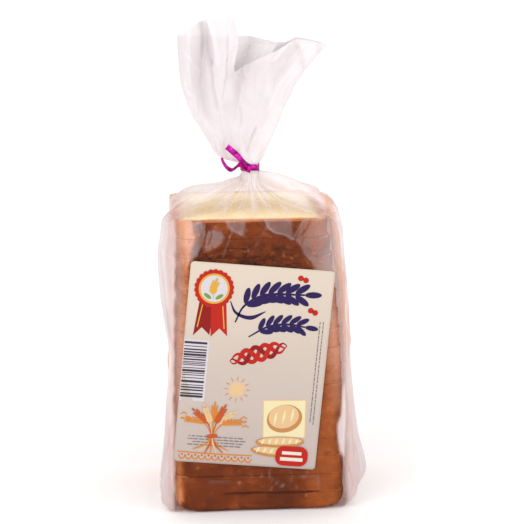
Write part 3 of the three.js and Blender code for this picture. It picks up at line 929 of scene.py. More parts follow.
# %% Creases, pleats and folds
def crease_field(rows):
    """Height in mm of all the random creases at each point of the grid, and the lines of painted
    highlight and painted shade along their tops.
    """
    rng = np.random.default_rng(CREASE_SEED)
    across = np.broadcast_to(np.arange(COLUMNS) / COLUMNS * BAG_GIRTH, rows.shape[:2])
    step = np.linalg.norm(np.diff(rows, axis=0), axis=2).mean(axis=1)
    along = np.concatenate([[0], np.cumsum(step)])[:, None] * np.ones((1, COLUMNS))
    length = along.max()
    height = np.zeros(rows.shape[:2])
    lines = np.zeros(rows.shape[:2])
    for _ in range(CREASES):
        middle_across = rng.uniform(0, BAG_GIRTH)
        middle_along = rng.uniform(0, length)
        slant = rng.normal(0, CREASE_SLANT)
        half = rng.uniform(*CREASE_HALF_LENGTHS)
        width = rng.uniform(*CREASE_WIDTHS)
        tall = rng.uniform(-1, 1)
        da = (across - middle_across + BAG_GIRTH / 2) % BAG_GIRTH - BAG_GIRTH / 2
        dz = along - middle_along
        off = np.abs(da * math.cos(slant) + dz * math.sin(slant))
        run = np.abs(dz * math.cos(slant) - da * math.sin(slant))
        fade = smoothstep(run, half, half * 0.3)
        tent = np.clip(1 - off / width, 0, None) ** 1.2
        height += tall * width * CREASE_STEEPNESS * tent * fade
        lines += tall * np.clip(1 - off / CREASE_LINE, 0, None) * fade
    return height, lines


def pleat_field(rows):
    """Height in mm of the pleats that run to the neck."""
    z = rows[:, :, 2]
    turn = np.broadcast_to(TURN, z.shape)
    shoulder = between(z, LOAF_TOP - 2, LOAF_TOP + 8, NECK_BOTTOM - 5, NECK_BOTTOM + 1)
    near_neck = smoothstep(z, LOAF_TOP + 9, NECK_BOTTOM - 4)
    tied = between(z, NECK_BOTTOM - 4, NECK_BOTTOM, NECK_TOP, NECK_TOP + 6)
    fan = between(z, NECK_TOP - 2, NECK_TOP + 7, NECK_TOP + 8, 240)
    height = pleats(turn, *WIDE_PLEATS) * (1 - near_neck) + pleats(turn, *FINE_PLEATS) * near_neck
    return height * shoulder + pleats(turn, *FAN_PLEATS) * fan + pleats(turn, *TIED_PLEATS) * tied


# The four corners of the paper label, under which the film is smooth
LABEL_OUTLINE = [(-42.1, 160.4), (45.5, 152.1), (33.7, 26.6), (-53.9, 34.9)]


def looseness(rows):
    """How freely the film may crease: little where it is tight over the bread or glued."""
    x, y, z = rows[:, :, 0], rows[:, :, 1], rows[:, :, 2]
    half = loaf_half_width(z)
    off_bread = smoothstep(np.abs(x - loaf_middle(z)), half - 6, half + 3)
    front_top = 0.55 * smoothstep(z, 150, 172) * (y < -40)
    behind = 0.35 * smoothstep(y, -20, 0)
    glued = inside(x, z, LABEL_OUTLINE, 6) * (y < -40)
    tight = np.maximum(behind, 0.12 * (1 - glued))
    body = np.maximum(np.maximum(off_bread, front_top * (1 - glued)), tight)
    above = smoothstep(z, LOAF_TOP - 4, LOAF_TOP + 4)
    neck = 1 - smoothstep(np.abs(z - (NECK_BOTTOM + NECK_TOP) / 2), 9, 3)
    calm_fan = 1 - 0.6 * smoothstep(z, NECK_TOP + 4, NECK_TOP + 30)
    return (body * (1 - above) + above * calm_fan) * neck * smoothstep(z, 0.5, 9)


def fan_field(rows):
    """Height and darkness of the folds listed for the fan's front layer."""
    x, z = rows[:, :, 0], rows[:, :, 2]
    front = IN_FRONT & (z > NECK_TOP)
    height = np.zeros(x.shape)
    dark = np.zeros(x.shape)
    # Painted shade along the fan's lines, and painted highlights on its facets
    for width, out, darkness, points in FAN_LINES:
        line = near_line(x, z, points, width) * front
        height += out * line
        dark += darkness * line
    for outline in FAN_HIGHLIGHTS:
        dark -= FAN_HIGHLIGHT_STRENGTH * inside(x, z, outline) * front
    return height, dark


fan_height, fan_painted_shade = fan_field(film)
crease_height, crease_glints = crease_field(film)
loose = looseness(film)
lift = pleat_field(film) + crease_height * loose + fan_height
film = film + grid_normals(film) * lift[:, :, None]
film[:, :, 2] = np.maximum(film[:, :, 2], FILM_LIFT)
low_corner, high_corner = [reach(axis=(0, 1)).round(1) for reach in (film.min, film.max)]
print("film box in mm:", low_corner, high_corner)

# %% [markdown]
# ## Film finish
# Bread bags are thin clear film with a faint milky bloom. Three things are seen: what is
# behind, slightly tinted; the bloom, which is strongest where the film hangs loose; and
# bright reflections, which grow towards grazing angles. So the shader is a clear one with a
# little white mixed in by an attribute, and gloss on top by Fresnel.

# %% Film material
def film_finish():
    material, nodes = new_finish("clear bag film")
    at = nodes.add("ShaderNodeTexCoord", out="Object")
    haze, sheen, shade, warmth = [
        nodes.add("ShaderNodeAttribute", {"attribute_name": name}, out="Fac")
        for name in ("haze", "sheen", "shade", "warmth")
    ]
    bump = nodes.bump(0.4, 0.0008, noise_at(nodes, at, 110, 3, 0.55))
    clear = nodes.add("ShaderNodeBsdfTransparent", {}, {"Color": (1.0, 0.976, 0.976, 1)})
    # The milk's colour carries painted shade and painted highlight, and a painted brown reflection
    # of the crust
    milk = nodes.mix(shade, (0.93, 0.87, 0.885, 1), (0.62, 0.55, 0.575, 1))
    milk = nodes.mix(warmth, milk, (0.76, 0.41, 0.29, 1))
    bloom = nodes.add("ShaderNodeBsdfDiffuse", {}, {"Color": milk, "Normal": bump})
    body = nodes.add("ShaderNodeMixShader", {}, {0: haze, 1: clear, 2: bloom})
    gloss = nodes.add("ShaderNodeBsdfAnisotropic", {}, {
        "Color": (1, 1, 1, 1), "Roughness": 0.24, "Normal": bump,
    })
    fresnel = nodes.add("ShaderNodeFresnel", {}, {"IOR": 1.45, "Normal": bump})
    mirror = fresnel.math("MINIMUM", 0.3) * sheen
    nodes.show(nodes.add("ShaderNodeMixShader", {}, {0: mirror, 1: body, 2: gloss}))
    return material


# %% [markdown]
# ## How the film looks from place to place
# Four numbers at each point tell the shader what to do there. `haze` is how milky the film is:
# hardly at all on the tight front, half way on the shoulders, and most where several layers
# hang together, in the folds and the fan; some of its patches and lines are painted highlight
# and painted reflection. `sheen` follows it, because loose film catches more light. `shade` is
# painted shade on the milk, and painted highlight where it drops. The fourth number tints the
# milk brown, as a painted reflection of the crust.

# %% Film look
MILK_TIGHT = 0.003
MILK_LEFT_FOLD = 0.7
MILK_RIGHT_FOLD = 0.66
MILK_ON_SIDES = 0.1
MILK_FOLD_HIGHLIGHT = 0.62
MILK_LEFT_STRIP = 0.24
MILK_RIGHT_STRIP = 0.18
MILK_SHOULDER = 0.1
MILK_SHOULDER_HIGH = 0.55
MILK_FAN = 0.86
MOST_MILK = 0.9
SHADE_PLAIN = 0.3


def clouds(rows, size, seed):
    return soft_noise(rows.reshape(-1, 3), size, seed).reshape(rows.shape[:2])


def film_look(rows, loose_crease_glints, fan_painted_shade):
    """How milky, glossy, shaded and warm the film looks at each point, from 0 to 1."""
    x, y, z = rows[:, :, 0], rows[:, :, 1], rows[:, :, 2]
    cloud = clouds(rows, 16, 5)
    small_cloud = clouds(rows, 6, 8)
    streaky = clouds(rows * [1, 1, 0.07], 2.4, 13) * (0.5 + 0.5 * smoothstep(z, 85, 115))

    # Places. Across is -1 and 1 at the loaf's own edges
    across = (x - loaf_middle(z)) / loaf_half_width(z)
    ragged = across + 0.016 * small_cloud
    front = (y < -40) & (z < LOAF_TOP + 3)
    off_front = smoothstep(y, -46, -39)
    left_edge = np.maximum(smoothstep(ragged, -0.97, -1.03), off_front * (across < -0.9))
    right_edge = np.maximum(smoothstep(ragged, 0.97, 1.05), off_front * (across > 0.9))
    edges = np.maximum(left_edge, right_edge)
    far_right = smoothstep(across, 1.03, 1.08)
    near_right = between(across, 0.88, 0.97, 1.08, 1.2)
    near_left = between(-across, 0.95, 1, 1.02, 1.13)
    on_side = smoothstep(y + 6 * cloud, -13, 16) * smoothstep(z, 182, 168)
    high_up = smoothstep(z, 155, 172)
    above = smoothstep(z, LOAF_TOP - 1, LOAF_TOP + 5)
    over = smoothstep(z, NECK_BOTTOM - 11, NECK_TOP + 2)
    corners = smoothstep(np.abs(across), 0.72, 0.95) * above
    # Painted highlights on the loose folds
    fold_highlight = sum(inside(x, z, outline) for outline in FOLD_HIGHLIGHTS) * (y < -20)

    # Milk on the tight front: a strip along each edge, patches off the crust that are partly a
    # painted reflection, and thin lines of painted highlight
    left_strip = MILK_LEFT_STRIP * smoothstep(across, -0.84, -0.98) * smoothstep(z, 30, 110)
    right_strip = MILK_RIGHT_STRIP * smoothstep(across, 0.7, 0.95) * smoothstep(z, 50, 120)
    strips = np.maximum(left_strip * (1 - 0.2 * high_up), right_strip * (1 - 0.5 * high_up))
    patches = sum(milk * inside(x, z, outline) for milk, outline in LOOSE_BLOOM_AND_SHEEN)
    # Thin lines of painted highlight, and a few of painted dark reflection
    bright = 0.45 * add_lines(x, z, GLINT_LINES) * (0.75 + 0.6 * small_cloud)
    tight = MILK_TIGHT + strips * (0.8 + 0.4 * cloud)
    tight += (patches * (1 + 0.25 * small_cloud) + bright) * front

    # Milk in the folds beside the loaf, which is nearly gone where they lie on its sides
    fold = (MILK_LEFT_FOLD + 0.06 * cloud) * left_edge
    fold += (MILK_RIGHT_FOLD + 0.06 * cloud) * right_edge
    fold = fold * (1 + 0.22 * streaky)
    fold += 0.15 * fold_highlight * edges - 0.2 * far_right * smoothstep(z, 150, 165)
    fold += ((MILK_ON_SIDES + 0.03 * small_cloud) * edges - fold) * on_side
    body = np.maximum(np.maximum(tight, fold), MILK_FOLD_HIGHLIGHT * fold_highlight)

    # Milk above the bread
    high = smoothstep(z, LOAF_TOP + 3, LOAF_TOP + 12)
    shoulder = MILK_SHOULDER + (MILK_SHOULDER_HIGH - MILK_SHOULDER) * high
    shoulder += 0.16 * cloud + 0.1 * small_cloud
    shoulder += 0.35 * add_lines(x, z, SHOULDER_LINES) * IN_FRONT
    shoulder += (0.2 + 0.25 * (across < 0)) * corners
    shoulder += 0.1 * smoothstep(across, 0.3, 0.6) * smoothstep(z, LOAF_TOP + 14, LOAF_TOP + 4)
    fan = MILK_FAN + 0.03 * cloud
    haze = body * (1 - above) + (shoulder * (1 - over) + fan * over) * above
    # Painted highlight on crease tops, as more milk
    haze += 0.12 * loose_crease_glints * (1 - over)

    # Painted shade and painted highlight on the milk: darker low on the folds, inside the fan's
    # back layer, in the fan's valleys and on the left above the loaf; lighter at the neck, on
    # crease tops, on the fold highlights, in streaks at the edges and high on the far right
    low_flaps = (0.14 + 0.46 * smoothstep(z, 110, 20)) * edges
    inside_fan = 0.14 * (SIDE > 0) * smoothstep(z, 235, 270)
    at_neck = smoothstep(np.abs(z - NECK_BOTTOM), 22, 4)
    shade = SHADE_PLAIN + np.maximum(inside_fan, low_flaps) + 0.45 * fan_painted_shade + 0.04 * over
    shade += 0.25 * (corners + above * (1 - over)) * smoothstep(across, 0, -0.6)
    shade -= 0.25 * at_neck + 0.3 * loose_crease_glints + 0.3 * fold_highlight + 0.3 * streaky * edges
    shade += 0.05 * small_cloud - 0.35 * far_right * smoothstep(z, 152, 168)

    # Painted reflection of the crust: the milk is tinted brown beside the loaf's edges, in streaks
    # on the folds, at its top corners and over its top, also where no crust is behind the film
    rim = between(across, 0.94, 0.98, 1.04, 1.1) * smoothstep(z, 140, 160)
    pink = 0.25 + 0.8 * smoothstep(z, 80, 125) - 0.9 * smoothstep(z, 145, 162)
    warmth = near_right * pink * (1 - 0.9 * streaky) + 0.85 * rim
    warmth += 0.28 * near_left + 0.25 * corners * (1 - over)
    warmth = warmth * (1 + 0.6 * small_cloud) + 0.1 * edges + 0.07 * above
    looks = {
        "haze": np.clip(haze, 0.004, MOST_MILK), "sheen": 0.06 + 0.84 * np.clip(haze / 0.4, 0, 1),
        "shade": shade, "warmth": warmth * (1 - over),
    }
    return {name: np.clip(values, 0, 1) for name, values in looks.items()}


bag_film = add_mesh(
    "bag_film",
    film.reshape(-1, 3),
    grid_faces(len(film), COLUMNS, closed=True) + [tuple(range(COLUMNS))[::-1]],
    [film_finish()],
)
for name, values in film_look(film, crease_glints * loose, fan_painted_shade).items():
    layer = bag_film.data.attributes.new(name, "FLOAT", "POINT")
    layer.data.foreach_set("value", values.ravel())
print("bag film:", len(bag_film.data.polygons), "faces")

# %% [markdown]
# ## The label
# The label is coated paper, stuck on the tight front of the bag and slanted a little. Its
# print is made of thin flat shapes that lie on the paper, each a field of one colour. They
# bend with the film as the paper does, so one function gives the place of any point of the
# label, and every shape goes through it.

# %% Label surface
LABEL_WIDTH = 88
LABEL_HEIGHT = 126
LABEL_CORNER = 2
LABEL_MIDDLE = np.array([-4.2, 93.5])
LABEL_TILT = math.radians(-5.4)
PAPER_LIFT = 0.35
PAPER_THICKNESS = 0.15


def label_points(uv, lift=0.0):
    """Points in mm on the bent label from across and up on the flat one."""
    uv = np.asarray(uv, float)
    turn = np.array([[math.cos(LABEL_TILT), math.sin(LABEL_TILT)],
                     [-math.sin(LABEL_TILT), math.cos(LABEL_TILT)]])
    xz = uv @ turn + LABEL_MIDDLE
    points = []
    for x, z in xz:
        row = body_row(z)[:FRONT_STEPS + 1]
        points.append((x, np.interp(x, row[:, 0], row[:, 1]) - PAPER_LIFT - lift, z))
    return np.array(points)


def paper_finish():
    material, nodes = new_finish("coated label paper")
    at, *_, z = place(nodes)
    fibre = noise_at(nodes, at, 900)
    # Painted shade: the paper is darker and greyer towards the bottom and lighter towards the top,
    # in soft blotches
    warm = (z * 0.007 + noise_at(nodes, at, 14) * 0.4).step(0.3, 1.5)
    nodes.show_solid({
        "Base Color": nodes.mix(warm, srgb(182, 167, 160), srgb(211, 195, 177)),
        "Roughness": 0.42, "Normal": nodes.bump(0.08, 0.0003, fibre), "Coat Weight": 0.15,
    })
    return material


def rounded_grid(half_width, half_height, radius, across, up):
    """A grid over a rectangle whose corner points are drawn in to round it."""
    def steps(half, count):
        return [-half, *np.linspace(radius - half, half - radius, count), half]

    grid = np.array([[(u, v) for u in steps(half_width, across)] for v in steps(half_height, up)])
    for i in (0, -1):
        for j in (0, -1):
            grid[i, j] -= np.sign(grid[i, j]) * radius * 0.29
    return grid


grid = rounded_grid(LABEL_WIDTH / 2, LABEL_HEIGHT / 2, LABEL_CORNER, 40, 50)
label_faces = grid_faces(*grid.shape[:2])
label = add_mesh("label_paper", label_points(grid.reshape(-1, 2)), label_faces, [paper_finish()])
thickness = label.modifiers.new("thickness", "SOLIDIFY")
thickness.thickness = PAPER_THICKNESS * MM
thickness.offset = -1

# %% [markdown]
# ## The label's print
# The print is a generic one: a rosette, two ears of wheat, a plait, a sun over a sheaf,
# loaves on a cloth, plain bars and rows of dashes. Brush strokes, discs and small polygons
# are enough for all of it. A stroke follows a smooth path and is thick and thin in turn,
# like a line from a real brush. Shapes that lie over others are lifted by a few hundredths of
# a millimetre more, so that a renderer never has to guess which is on top.

# %% Print helpers
INK_LAYER = 0.05
OVERLAP = 0.12  # of a layer, between a grain and the next one
EAR_STEPS = 60
INKS = {
    # Name and red, green, blue as in a picture
    "red": (198, 34, 20), "dark red": (150, 20, 18), "gold": (232, 176, 62),
    "cream": (244, 234, 222), "green": (122, 158, 84), "navy": (40, 22, 84),
    "orange": (226, 140, 58), "dark orange": (206, 92, 36), "sand": (240, 200, 150),
    "crust": (206, 144, 84), "crumb": (248, 234, 186), "grey": (128, 118, 124),
    "black": (62, 56, 70), "white": (226, 218, 222),
}
INK_DIMMING = 0.9
inked = {name: ([], []) for name in INKS}


def smooth_path(points, count):
    """A smooth curve through the points, evenly stepped."""
    points = np.asarray(points, float)
    padded = np.vstack([2 * points[0] - points[1], points, 2 * points[-1] - points[-2]])
    curve = []
    for p0, p1, p2, p3 in zip(padded, padded[1:], padded[2:], padded[3:]):
        for t in np.linspace(0, 1, 12, endpoint=False):
            curve.append(0.5 * (2 * p1 + (p2 - p0) * t + (2 * p0 - 5 * p1 + 4 * p2 - p3) * t * t
                                + (3 * p1 - p0 - 3 * p2 + p3) * t ** 3))
    curve.append(points[-1])
    return resample(np.array(curve), count)


def ink(name, uv, faces, layer=1):
    """Adds faces to the print of one colour, all of them facing away from the paper."""
    uv = np.asarray(uv, float)
    points, all_faces = inked[name]
    first = len(points)
    points += label_points(uv, layer * INK_LAYER).tolist()
    for face in faces:
        a, b, c = uv[face[0]], uv[face[1]], uv[face[2]]
        turned = (b[0] - a[0]) * (c[1] - a[1]) - (b[1] - a[1]) * (c[0] - a[0]) < 0
        all_faces.append(tuple(first + i for i in (face[::-1] if turned else face)))


def stroke(name, points, widths, layer=1, count=None):
    """A brush stroke along a smooth path, with its widths spread evenly along it."""
    count = count or 6 * len(points)
    path = smooth_path(points, count)
    ahead = np.gradient(path, axis=0)
    side = np.stack([-ahead[:, 1], ahead[:, 0]], axis=1) / np.linalg.norm(ahead, axis=1)[:, None]
    wide = np.interp(np.linspace(0, 1, count), np.linspace(0, 1, len(widths)), widths)[:, None] / 2
    uv = np.stack([path - side * wide, path + side * wide], axis=1).reshape(-1, 2)
    ink(name, uv, grid_faces(count, 2), layer)


def disc(name, middle, radius, layer=1, stretch=1.0, turn=0.0, lobes=0, steps=40):
    """A disc, or an oval that is `stretch` times as long, with a scalloped rim if it has lobes."""
    angle = np.linspace(0, 2 * math.pi, steps, endpoint=False)
    rim = radius * (1 + (0.07 * np.abs(np.sin(angle * lobes / 2)) if lobes else 0))
    flat = np.stack([rim * stretch * np.cos(angle), rim * np.sin(angle)], axis=1)
    spin = np.array([[math.cos(turn), math.sin(turn)], [-math.sin(turn), math.cos(turn)]])
    outline = flat @ spin
    uv = np.vstack([[0, 0], outline * 0.5, outline]) + middle
    faces = [(0, 1 + i, 1 + (i + 1) % steps) for i in range(steps)]
    ink(name, uv, faces + grid_faces(2, steps, closed=True, first=1), layer)


def patch(name, outline, layer=1):
    """A flat shape with any outline."""
    loops = [[Vector((u, v, 0)) for u, v in outline]]
    ink(name, outline, geometry.tessellate_polygon(loops), layer)


def bar(name, left, right, low, high, layer=1):
    patch(name, [(left, low), (right, low), (right, high), (left, high)], layer)


def rounded(left, right, low, high, radius):
    """The outline of a rectangle with round corners."""
    outline = []
    for k, (u, v) in enumerate([(right, high), (left, high), (left, low), (right, low)]):
        for turn in np.radians(np.linspace(90 * k, 90 * k + 90, 7)):
            to_middle = (radius * (-1 if u == right else 1), radius * (-1 if v == high else 1))
            outline.append((u + to_middle[0] + radius * math.cos(turn),
                            v + to_middle[1] + radius * math.sin(turn)))
    return outline


def toward(turn):
    """A step of length 1 in the direction `turn`."""
    return np.array([math.cos(turn), math.sin(turn)])


# %% [markdown]
# ## An ear of wheat
# An ear needs nothing new: a stroke is its stem, and narrow discs that lean away from the stem
# are its grains. Three of the motifs use it: a small gold one in the rosette, the two large
# dark blue ones, and the sheaf.

# %% Ear of wheat
def ear(name, path, grain, pairs, stem, layer=1, start=0.3):
    """An ear of wheat: a stem, pairs of grains that lean away from it, and one at its tip.

    Each grain lies a little over the one before, because faces that coincide turn black.
    """
    stroke(name, path, [stem * 0.5, stem, stem * 0.6], layer)
    line = smooth_path(path, EAR_STEPS)
    length, width = grain
    last = EAR_STEPS - 1

    def add_grain(at, turn, reach, lift):
        middle = at + toward(turn) * length * reach
        disc(name, middle, width / 2, lift, length / width, turn, steps=18)

    for i in range(pairs):
        at = int((start + (0.97 - start) * i / pairs) * last)
        heading = math.atan2(*(line[min(at + 1, last)] - line[at - 1])[::-1])
        for k, side in enumerate((-1, 1)):
            add_grain(line[at], heading + side * 0.6, 0.62, layer + OVERLAP * (2 * i + k + 1))
    heading = math.atan2(*(line[-1] - line[-2])[::-1])
    add_grain(line[-1], heading, 0.5, layer + OVERLAP * (2 * pairs + 1))


# %% [markdown]
# Each motif is a short function of its own, placed where the real label carries something of
# the same size and colour.

# %% Motifs
def rosette():
    middle = -28.5
    for side, name, layer in ((-1, "dark red", 1), (1, "red", 2)):
        top = middle + side * 3
        foot = middle + side * 5.4
        tail = [(top - 4.6, 44), (top + 4.6, 44), (foot + 5, 18), (foot, 22.5), (foot - 5, 17)]
        patch(name, tail, layer)
        stroke("gold", [(top + side * 2.4, 42), (foot + side * 2.8, 22.5)], [0.7, 0.7], 3)
    disc("red", (middle, 47), 11.4, 4, lobes=22, steps=88)
    disc("gold", (middle, 47), 9.4, 5)
    disc("white", (middle, 47), 8.2, 6)
    ear("gold", [(middle, 40.5), (-28.9, 46), (-27.9, 50.5)], (3.4, 1.7), 4, 0.7, 7)
    for side in (-1, 1):
        disc("green", (middle + side * 3.6, 42.2), 1.1, 8, 2.4, 0.6 * side)


def wheat_and_berries():
    ear("navy", [(-14, 27), (-9, 38), (4, 45.5), (27, 47)], (10.2, 3.9), 7, 1.8, 2, 0.24)
    ear("navy", [(-5, 18.5), (6, 25.5), (18, 28), (29, 27)], (8.2, 3.2), 6, 1.6, 2, 0.2)
    stroke("navy", [(-18, 40), (-14, 33), (-5, 30.5), (4, 35)], [0.5, 1.8, 2.6, 0.5], 2)
    for u, v in ((23.4, 57.2), (26.6, 56.2), (31.4, 37.6), (34.2, 36.4)):
        disc("red", (u, v), 1.75, 3)


def plait():
    share = np.linspace(0, 1, 25)
    for k, name in enumerate(("red", "dark red", "red")):
        sway = 4.2 * np.sin(share * 12.5 + k * 2.1) * np.sin(math.pi * share) ** 0.4
        path = np.stack([-15 + 34 * share - sway * 0.3, 2.5 + 12 * share + sway], axis=1)
        stroke(name, path, [0.4, 2.8, 2.8, 2.8, 0.4], 1 + k, count=90)


def bars():
    rng = np.random.default_rng(5)
    bar("white", -43.6, -28.4, -24, 14.6)
    v = 13.3
    while v > -21.5:
        thick = rng.choice([0.5, 0.9, 1.4])
        bar("black", -43.4, -29.6, v - thick, v, 2)
        v -= thick + rng.choice([0.5, 0.8, 1.3])


# %% [markdown]
# The lower half of the label is busier. Its shapes overlap, so each one names its own layer,
# and the loops give every ear and loaf a layer of its own.

# %% Motifs of the lower half
def sun_and_sheaf():
    sun = (-9, -15)
    disc("sand", sun, 4.6)
    for turn in np.linspace(0, 2 * math.pi, 12, endpoint=False):
        stroke("orange", [toward(turn) * 5.8 + sun, toward(turn) * 8.2 + sun], [0.8, 0.3])
    tie = np.array([-21.5, -45.5])
    for k in range(7):
        name = ("orange", "dark orange", "sand")[k % 3]
        lean = (k - 3) / 3
        layer = 2 + 1.1 * ((k * 3) % 7)
        head = tie + [lean * 17.5, 19 - 9 * lean * lean]
        bow = tie + [lean * 6, 9 - lean * lean]
        ear(name, [tie, bow, head], (3, 1.25), 6, 0.8, layer, 0.45)
        foot = tie + [-lean * 11, -11.5 + 2.5 * lean * lean]
        stroke(name, [tie, tie + [-lean * 3, -5], foot], [0.7, 1.1, 0.6], layer)
    stroke("dark orange", [tie - [3.2, 0.8], tie, tie + [3.2, 0.2]], [2, 2.6, 2], 11)
    for k in range(11):
        u = -41 + 4.1 * k
        arc = [(u, -58.4), (u + 0.6, -60.2), (u + 2, -61), (u + 3.4, -60.2), (u + 4, -58.4)]
        stroke("orange", arc, [0.6, 1, 0.6], 2)
        disc("dark orange", (u + 2, -58.2), 0.6, 2, steps=14)
    stroke("orange", [(-42, -56.6), (-20, -56.9), (4, -56.6)], [0.8, 1, 0.8], 2)
    for u, v in ((-40, -33), (-37.5, -37.5), (-3, -33.5), (-1.5, -39)):
        stroke("orange", [(u - 2.2, v), (u, v + 1.3), (u + 2.2, v)], [0.4, 1, 0.4], 2)


def cuts(middle, turn, reach, width, count, layer):
    """The slanted cuts on top of a loaf."""
    slant = toward(turn + 1.15) * width
    for share in np.linspace(-1, 1, count):
        at = np.array(middle) + toward(turn) * reach * share
        stroke("crumb", [at - slant, at, at + slant], [0.5, 1.7, 0.5], layer)


def loaves_on_a_cloth():
    cloth = [(7.5, -20.5), (34.5, -18.5), (36, -43), (9.5, -45)]
    middle = np.mean(cloth, axis=0)
    patch("sand", cloth, 1)
    patch("crumb", [middle + (np.array(corner) - middle) * 0.95 for corner in cloth], 2)
    disc("crust", (22, -31.5), 8.8, 3, 1.25, 0.3)
    disc("sand", (21.4, -30.3), 7.4, 4, 1.27, 0.3)
    cuts((21.5, -30.5), 0.3, 5.4, 4.2, 3, 5)
    for k, (u, v, turn) in enumerate(((18, -53, -0.03), (20.5, -46.6, 0.07))):
        disc("crust", (u, v), 3.5, 6 + 3 * k, 4.3, turn)
        disc("sand", (u, v + 0.7), 2.4, 7 + 3 * k, 5.6, turn)
        cuts((u, v + 0.5), turn, 10.5, 1.9, 6, 8 + 3 * k)


def dashes(start, end, rng):
    """Starts and ends of dashes of random length, on the way from `start` to `end`."""
    sign = 1 if end > start else -1
    at = start
    while sign * at < sign * end:
        dash = rng.uniform(0.8, 3.4)
        yield at, at + sign * dash
        at += sign * (dash + rng.uniform(0.4, 0.9))


def small_print():
    rng = np.random.default_rng(8)
    patch("red", rounded(18.6, 38.6, -61.4, -48.8, 5), 12)
    bar("cream", 22.5, 34.6, -54.2, -52.2, 13)
    bar("cream", 21.6, 35.6, -58.2, -56, 13)
    thick = 0.55
    for u in (37.6, 39.6):
        for high, low in dashes(31.0, -33, rng):
            bar("grey", u, u + thick, low, high, 2)
    for v in (-46.4, -48.2, -50, -51.8):
        for left, right in dashes(-37.0 + rng.uniform(0, 4), -4, rng):
            bar("grey", left, right, v, v + thick, 5)


# %% Print all motifs
MOTIFS = (
    rosette, wheat_and_berries, plait, bars, sun_and_sheaf, loaves_on_a_cloth, small_print,
)
for motif in MOTIFS:
    motif()


def ink_finish(name, color):
    material, nodes = new_finish(name + " ink")
    dimmed = [channel * INK_DIMMING for channel in color]
    nodes.show_solid({
        "Base Color": srgb(*dimmed), "Roughness": 0.45, "Specular IOR Level": 0.2,
    })
    return material


points, faces, finishes, slots = [], [], [], []
for name, (own_points, own_faces) in inked.items():
    slots += [len(finishes)] * len(own_faces)
    finishes.append(ink_finish(name, INKS[name]))
    faces += [tuple(len(points) + i for i in face) for face in own_faces]
    points += own_points
label_print = add_mesh("label_print", points, faces, finishes)
label_print.data.polygons.foreach_set("material_index", slots)
print("label print:", len(faces), "faces in", len(finishes), "inks")

# %% [markdown]
# ## The ribbon
# Curling ribbon is a flat band of metallised plastic. It goes round the neck, is knotted at
# the front, and its two ends stand off: one nearly straight, one curled over a blade.

# %% Ribbon
RIBBON_WIDTH = 3.9
RIBBON_MIDDLE = 209
RIBBON_THICKNESS = 0.35
LOOP_RADIUS = NECK_RADIUS + 0.75
FRONT_Y = -LOOP_RADIUS - 0.4  # the front of the loop, where the ends leave the knot

# The two ends as points (across, out from the loop's front, up) in mm
UPPER_END = [
    (-3.6, 0.4, 209), (-5.6, 1.2, 210.9), (-8.7, 2.4, 214.7), (-11.8, 3, 218.2),
    (-17.4, 3.4, 223.1),
]
LOWER_END = [
    (-4.4, 0.8, 209.4), (-7.5, 1.8, 211), (-9.9, 2.6, 211.6), (-12.1, 3, 209.8),
    (-14.6, 3.2, 208.5), (-17.3, 3.4, 210.1), (-19.5, 2.8, 213.2), (-20.5, 2, 216),
]


def ribbon_band(name, path, across, widths, material, closed=False):
    """A flat band along a path. `across` gives the direction of its width at each point."""
    rows = []
    ahead = np.gradient(path, axis=0)
    for point, direction, wide, forward in zip(path, across, widths, ahead):
        direction = direction / np.linalg.norm(direction)
        out = np.cross(forward, direction)
        out = out / np.linalg.norm(out) * RIBBON_THICKNESS / 2
        side = direction * wide / 2
        rows.append([point - side - out, point - out * 1.25, point + side - out,
                     point + side + out, point + out * 0.75, point - side + out])
    rows = np.array(rows)
    if closed:
        rows = np.vstack([rows, rows[:1]])
    faces = grid_faces(len(rows), 6, closed=True)
    if not closed:
        last = 6 * (len(rows) - 1)
        faces += [(5, 4, 3, 2, 1, 0), tuple(last + i for i in range(6))]
    return add_mesh(name, rows.reshape(-1, 3), faces, [material])


def foil_finish():
    material, nodes = new_finish("magenta foil")
    at = nodes.add("ShaderNodeTexCoord", out="Object")
    streak = noise_at(nodes, at, 800, 2)
    # Painted highlights and painted dark reflections on the foil: its colour runs from dark purple
    # to light pink by noise
    painted_glint = noise_at(nodes, at, 300, 3, 0.6) * 0.7 + streak * 0.3
    color = nodes.ramp(painted_glint, [
        (0.34, srgb(84, 0, 72)), (0.44, srgb(150, 8, 112)), (0.52, srgb(196, 24, 150)),
        (0.6, srgb(206, 34, 186)), (0.7, srgb(236, 92, 226)),
    ])
    nodes.show_solid({
        "Base Color": color, "Metallic": 0.85, "Roughness": 0.28,
        "Normal": nodes.bump(0.3, 0.0003, streak),
    })
    return material


foil = foil_finish()


def ribbon_loop():
    turn = np.linspace(0, 2 * math.pi, 49)
    path = np.stack([NECK_X + LOOP_RADIUS * np.cos(turn), LOOP_RADIUS * np.sin(turn),
                     RIBBON_MIDDLE + 0.25 * np.sin(3 * turn)], axis=1)
    up = np.tile([0.0, 0.0, 1.0], (len(path), 1))
    return ribbon_band("ribbon_loop", path, up, np.full(len(path), RIBBON_WIDTH), foil, closed=True)


def ribbon_knot():
    turn = np.linspace(0, 2 * math.pi, 25)
    path = np.stack([-3.5 + 0.9 * np.sin(turn), FRONT_Y + 0.2 + 1.5 * np.cos(turn),
                     208.9 + 2.3 * np.sin(turn)], axis=1)
    across = np.tile([1.0, 0.0, -0.35], (len(path), 1))
    widths = 3.4 - 0.9 * np.cos(turn) ** 2
    return ribbon_band("ribbon_knot", path, across, widths, foil, closed=True)


def ribbon_end(name, points, count, across_start, across_end, widths):
    """A free end that turns on its way, so that its width points elsewhere at its tip."""
    path = smooth_path([(x, FRONT_Y - out, z) for x, out, z in points], count)
    share = np.linspace(0, 1, count)[:, None]
    across = np.array(across_start) * (1 - share) + np.array(across_end) * share
    return ribbon_band(name, path, across, np.linspace(*widths, count), foil)


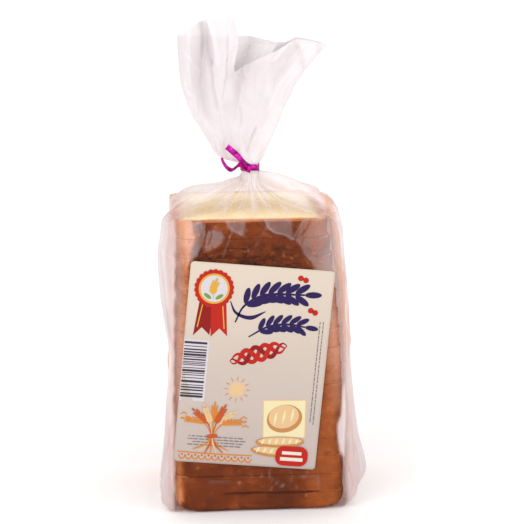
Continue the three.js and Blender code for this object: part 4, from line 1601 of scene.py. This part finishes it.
end_width = RIBBON_WIDTH * 0.92
ribbon_pieces = [
    ribbon_knot(),
    ribbon_loop(),
    ribbon_end("ribbon_upper_end", UPPER_END, 40, (0.35, 0.45, 0.7), (0.62, 0.1, 0.78),
               (end_width, end_width)),
    ribbon_end("ribbon_lower_end", LOWER_END, 60, (0.1, 0.3, 1.0), (0.5, -0.8, 0.45), (3.6, 2.2)),
]

# %% [markdown]
# ## Floor and light
# The picture has a white ground and soft light from everywhere. A white floor and a bright
# even world give that, and two large soft lamps put long highlights on the film.

# %% Floor, world and lamps
def floor_finish():
    material, nodes = new_finish("pale floor")
    nodes.show_solid({"Base Color": (0.98, 0.98, 0.98, 1), "Roughness": 0.9})
    return material


FLOOR_HALF = 6000
corners = [(x * FLOOR_HALF, y * FLOOR_HALF, 0) for x, y in ((-1, -1), (1, -1), (1, 1), (-1, 1))]
floor = add_mesh("floor", corners, [(0, 1, 2, 3)], [floor_finish()])

world = bpy.data.worlds.new("soft studio")
bpy.context.scene.world = world
world.use_nodes = True
background = world.node_tree.nodes["Background"]
background.inputs["Color"].default_value = (1, 1, 1, 1)
background.inputs["Strength"].default_value = 1.06


def add_lamp(name, place_mm, aim_mm, size_mm, watts):
    lamp = bpy.data.lights.new(name, "AREA")
    lamp.shape = "RECTANGLE"
    lamp.size, lamp.size_y = [s * MM for s in size_mm]
    lamp.energy = watts
    holder = bpy.data.objects.new(name, lamp)
    holder.location = Vector(place_mm) * MM
    holder.rotation_euler = (Vector(place_mm) - Vector(aim_mm)).to_track_quat("Z", "Y").to_euler()
    bpy.context.scene.collection.objects.link(holder)


add_lamp("key lamp", (-900, -1100, 900), (0, 0, 150), (700, 900), 5)
add_lamp("fill lamp", (1000, -700, 600), (0, 0, 150), (500, 900), 2)
bpy.context.scene.view_settings.view_transform = "Standard"

# %% [markdown]
# ## Hand the pieces to the frame
# Each piece rides on the part's one body and stands for the solid that it replaces.

for piece in [loaf, bag_film, label, label_print, *ribbon_pieces]:
    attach(piece, "root")
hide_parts("bag")
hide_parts("bag")
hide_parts("label")
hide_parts("label")
for piece in ribbon_pieces:
    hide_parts("ribbon")
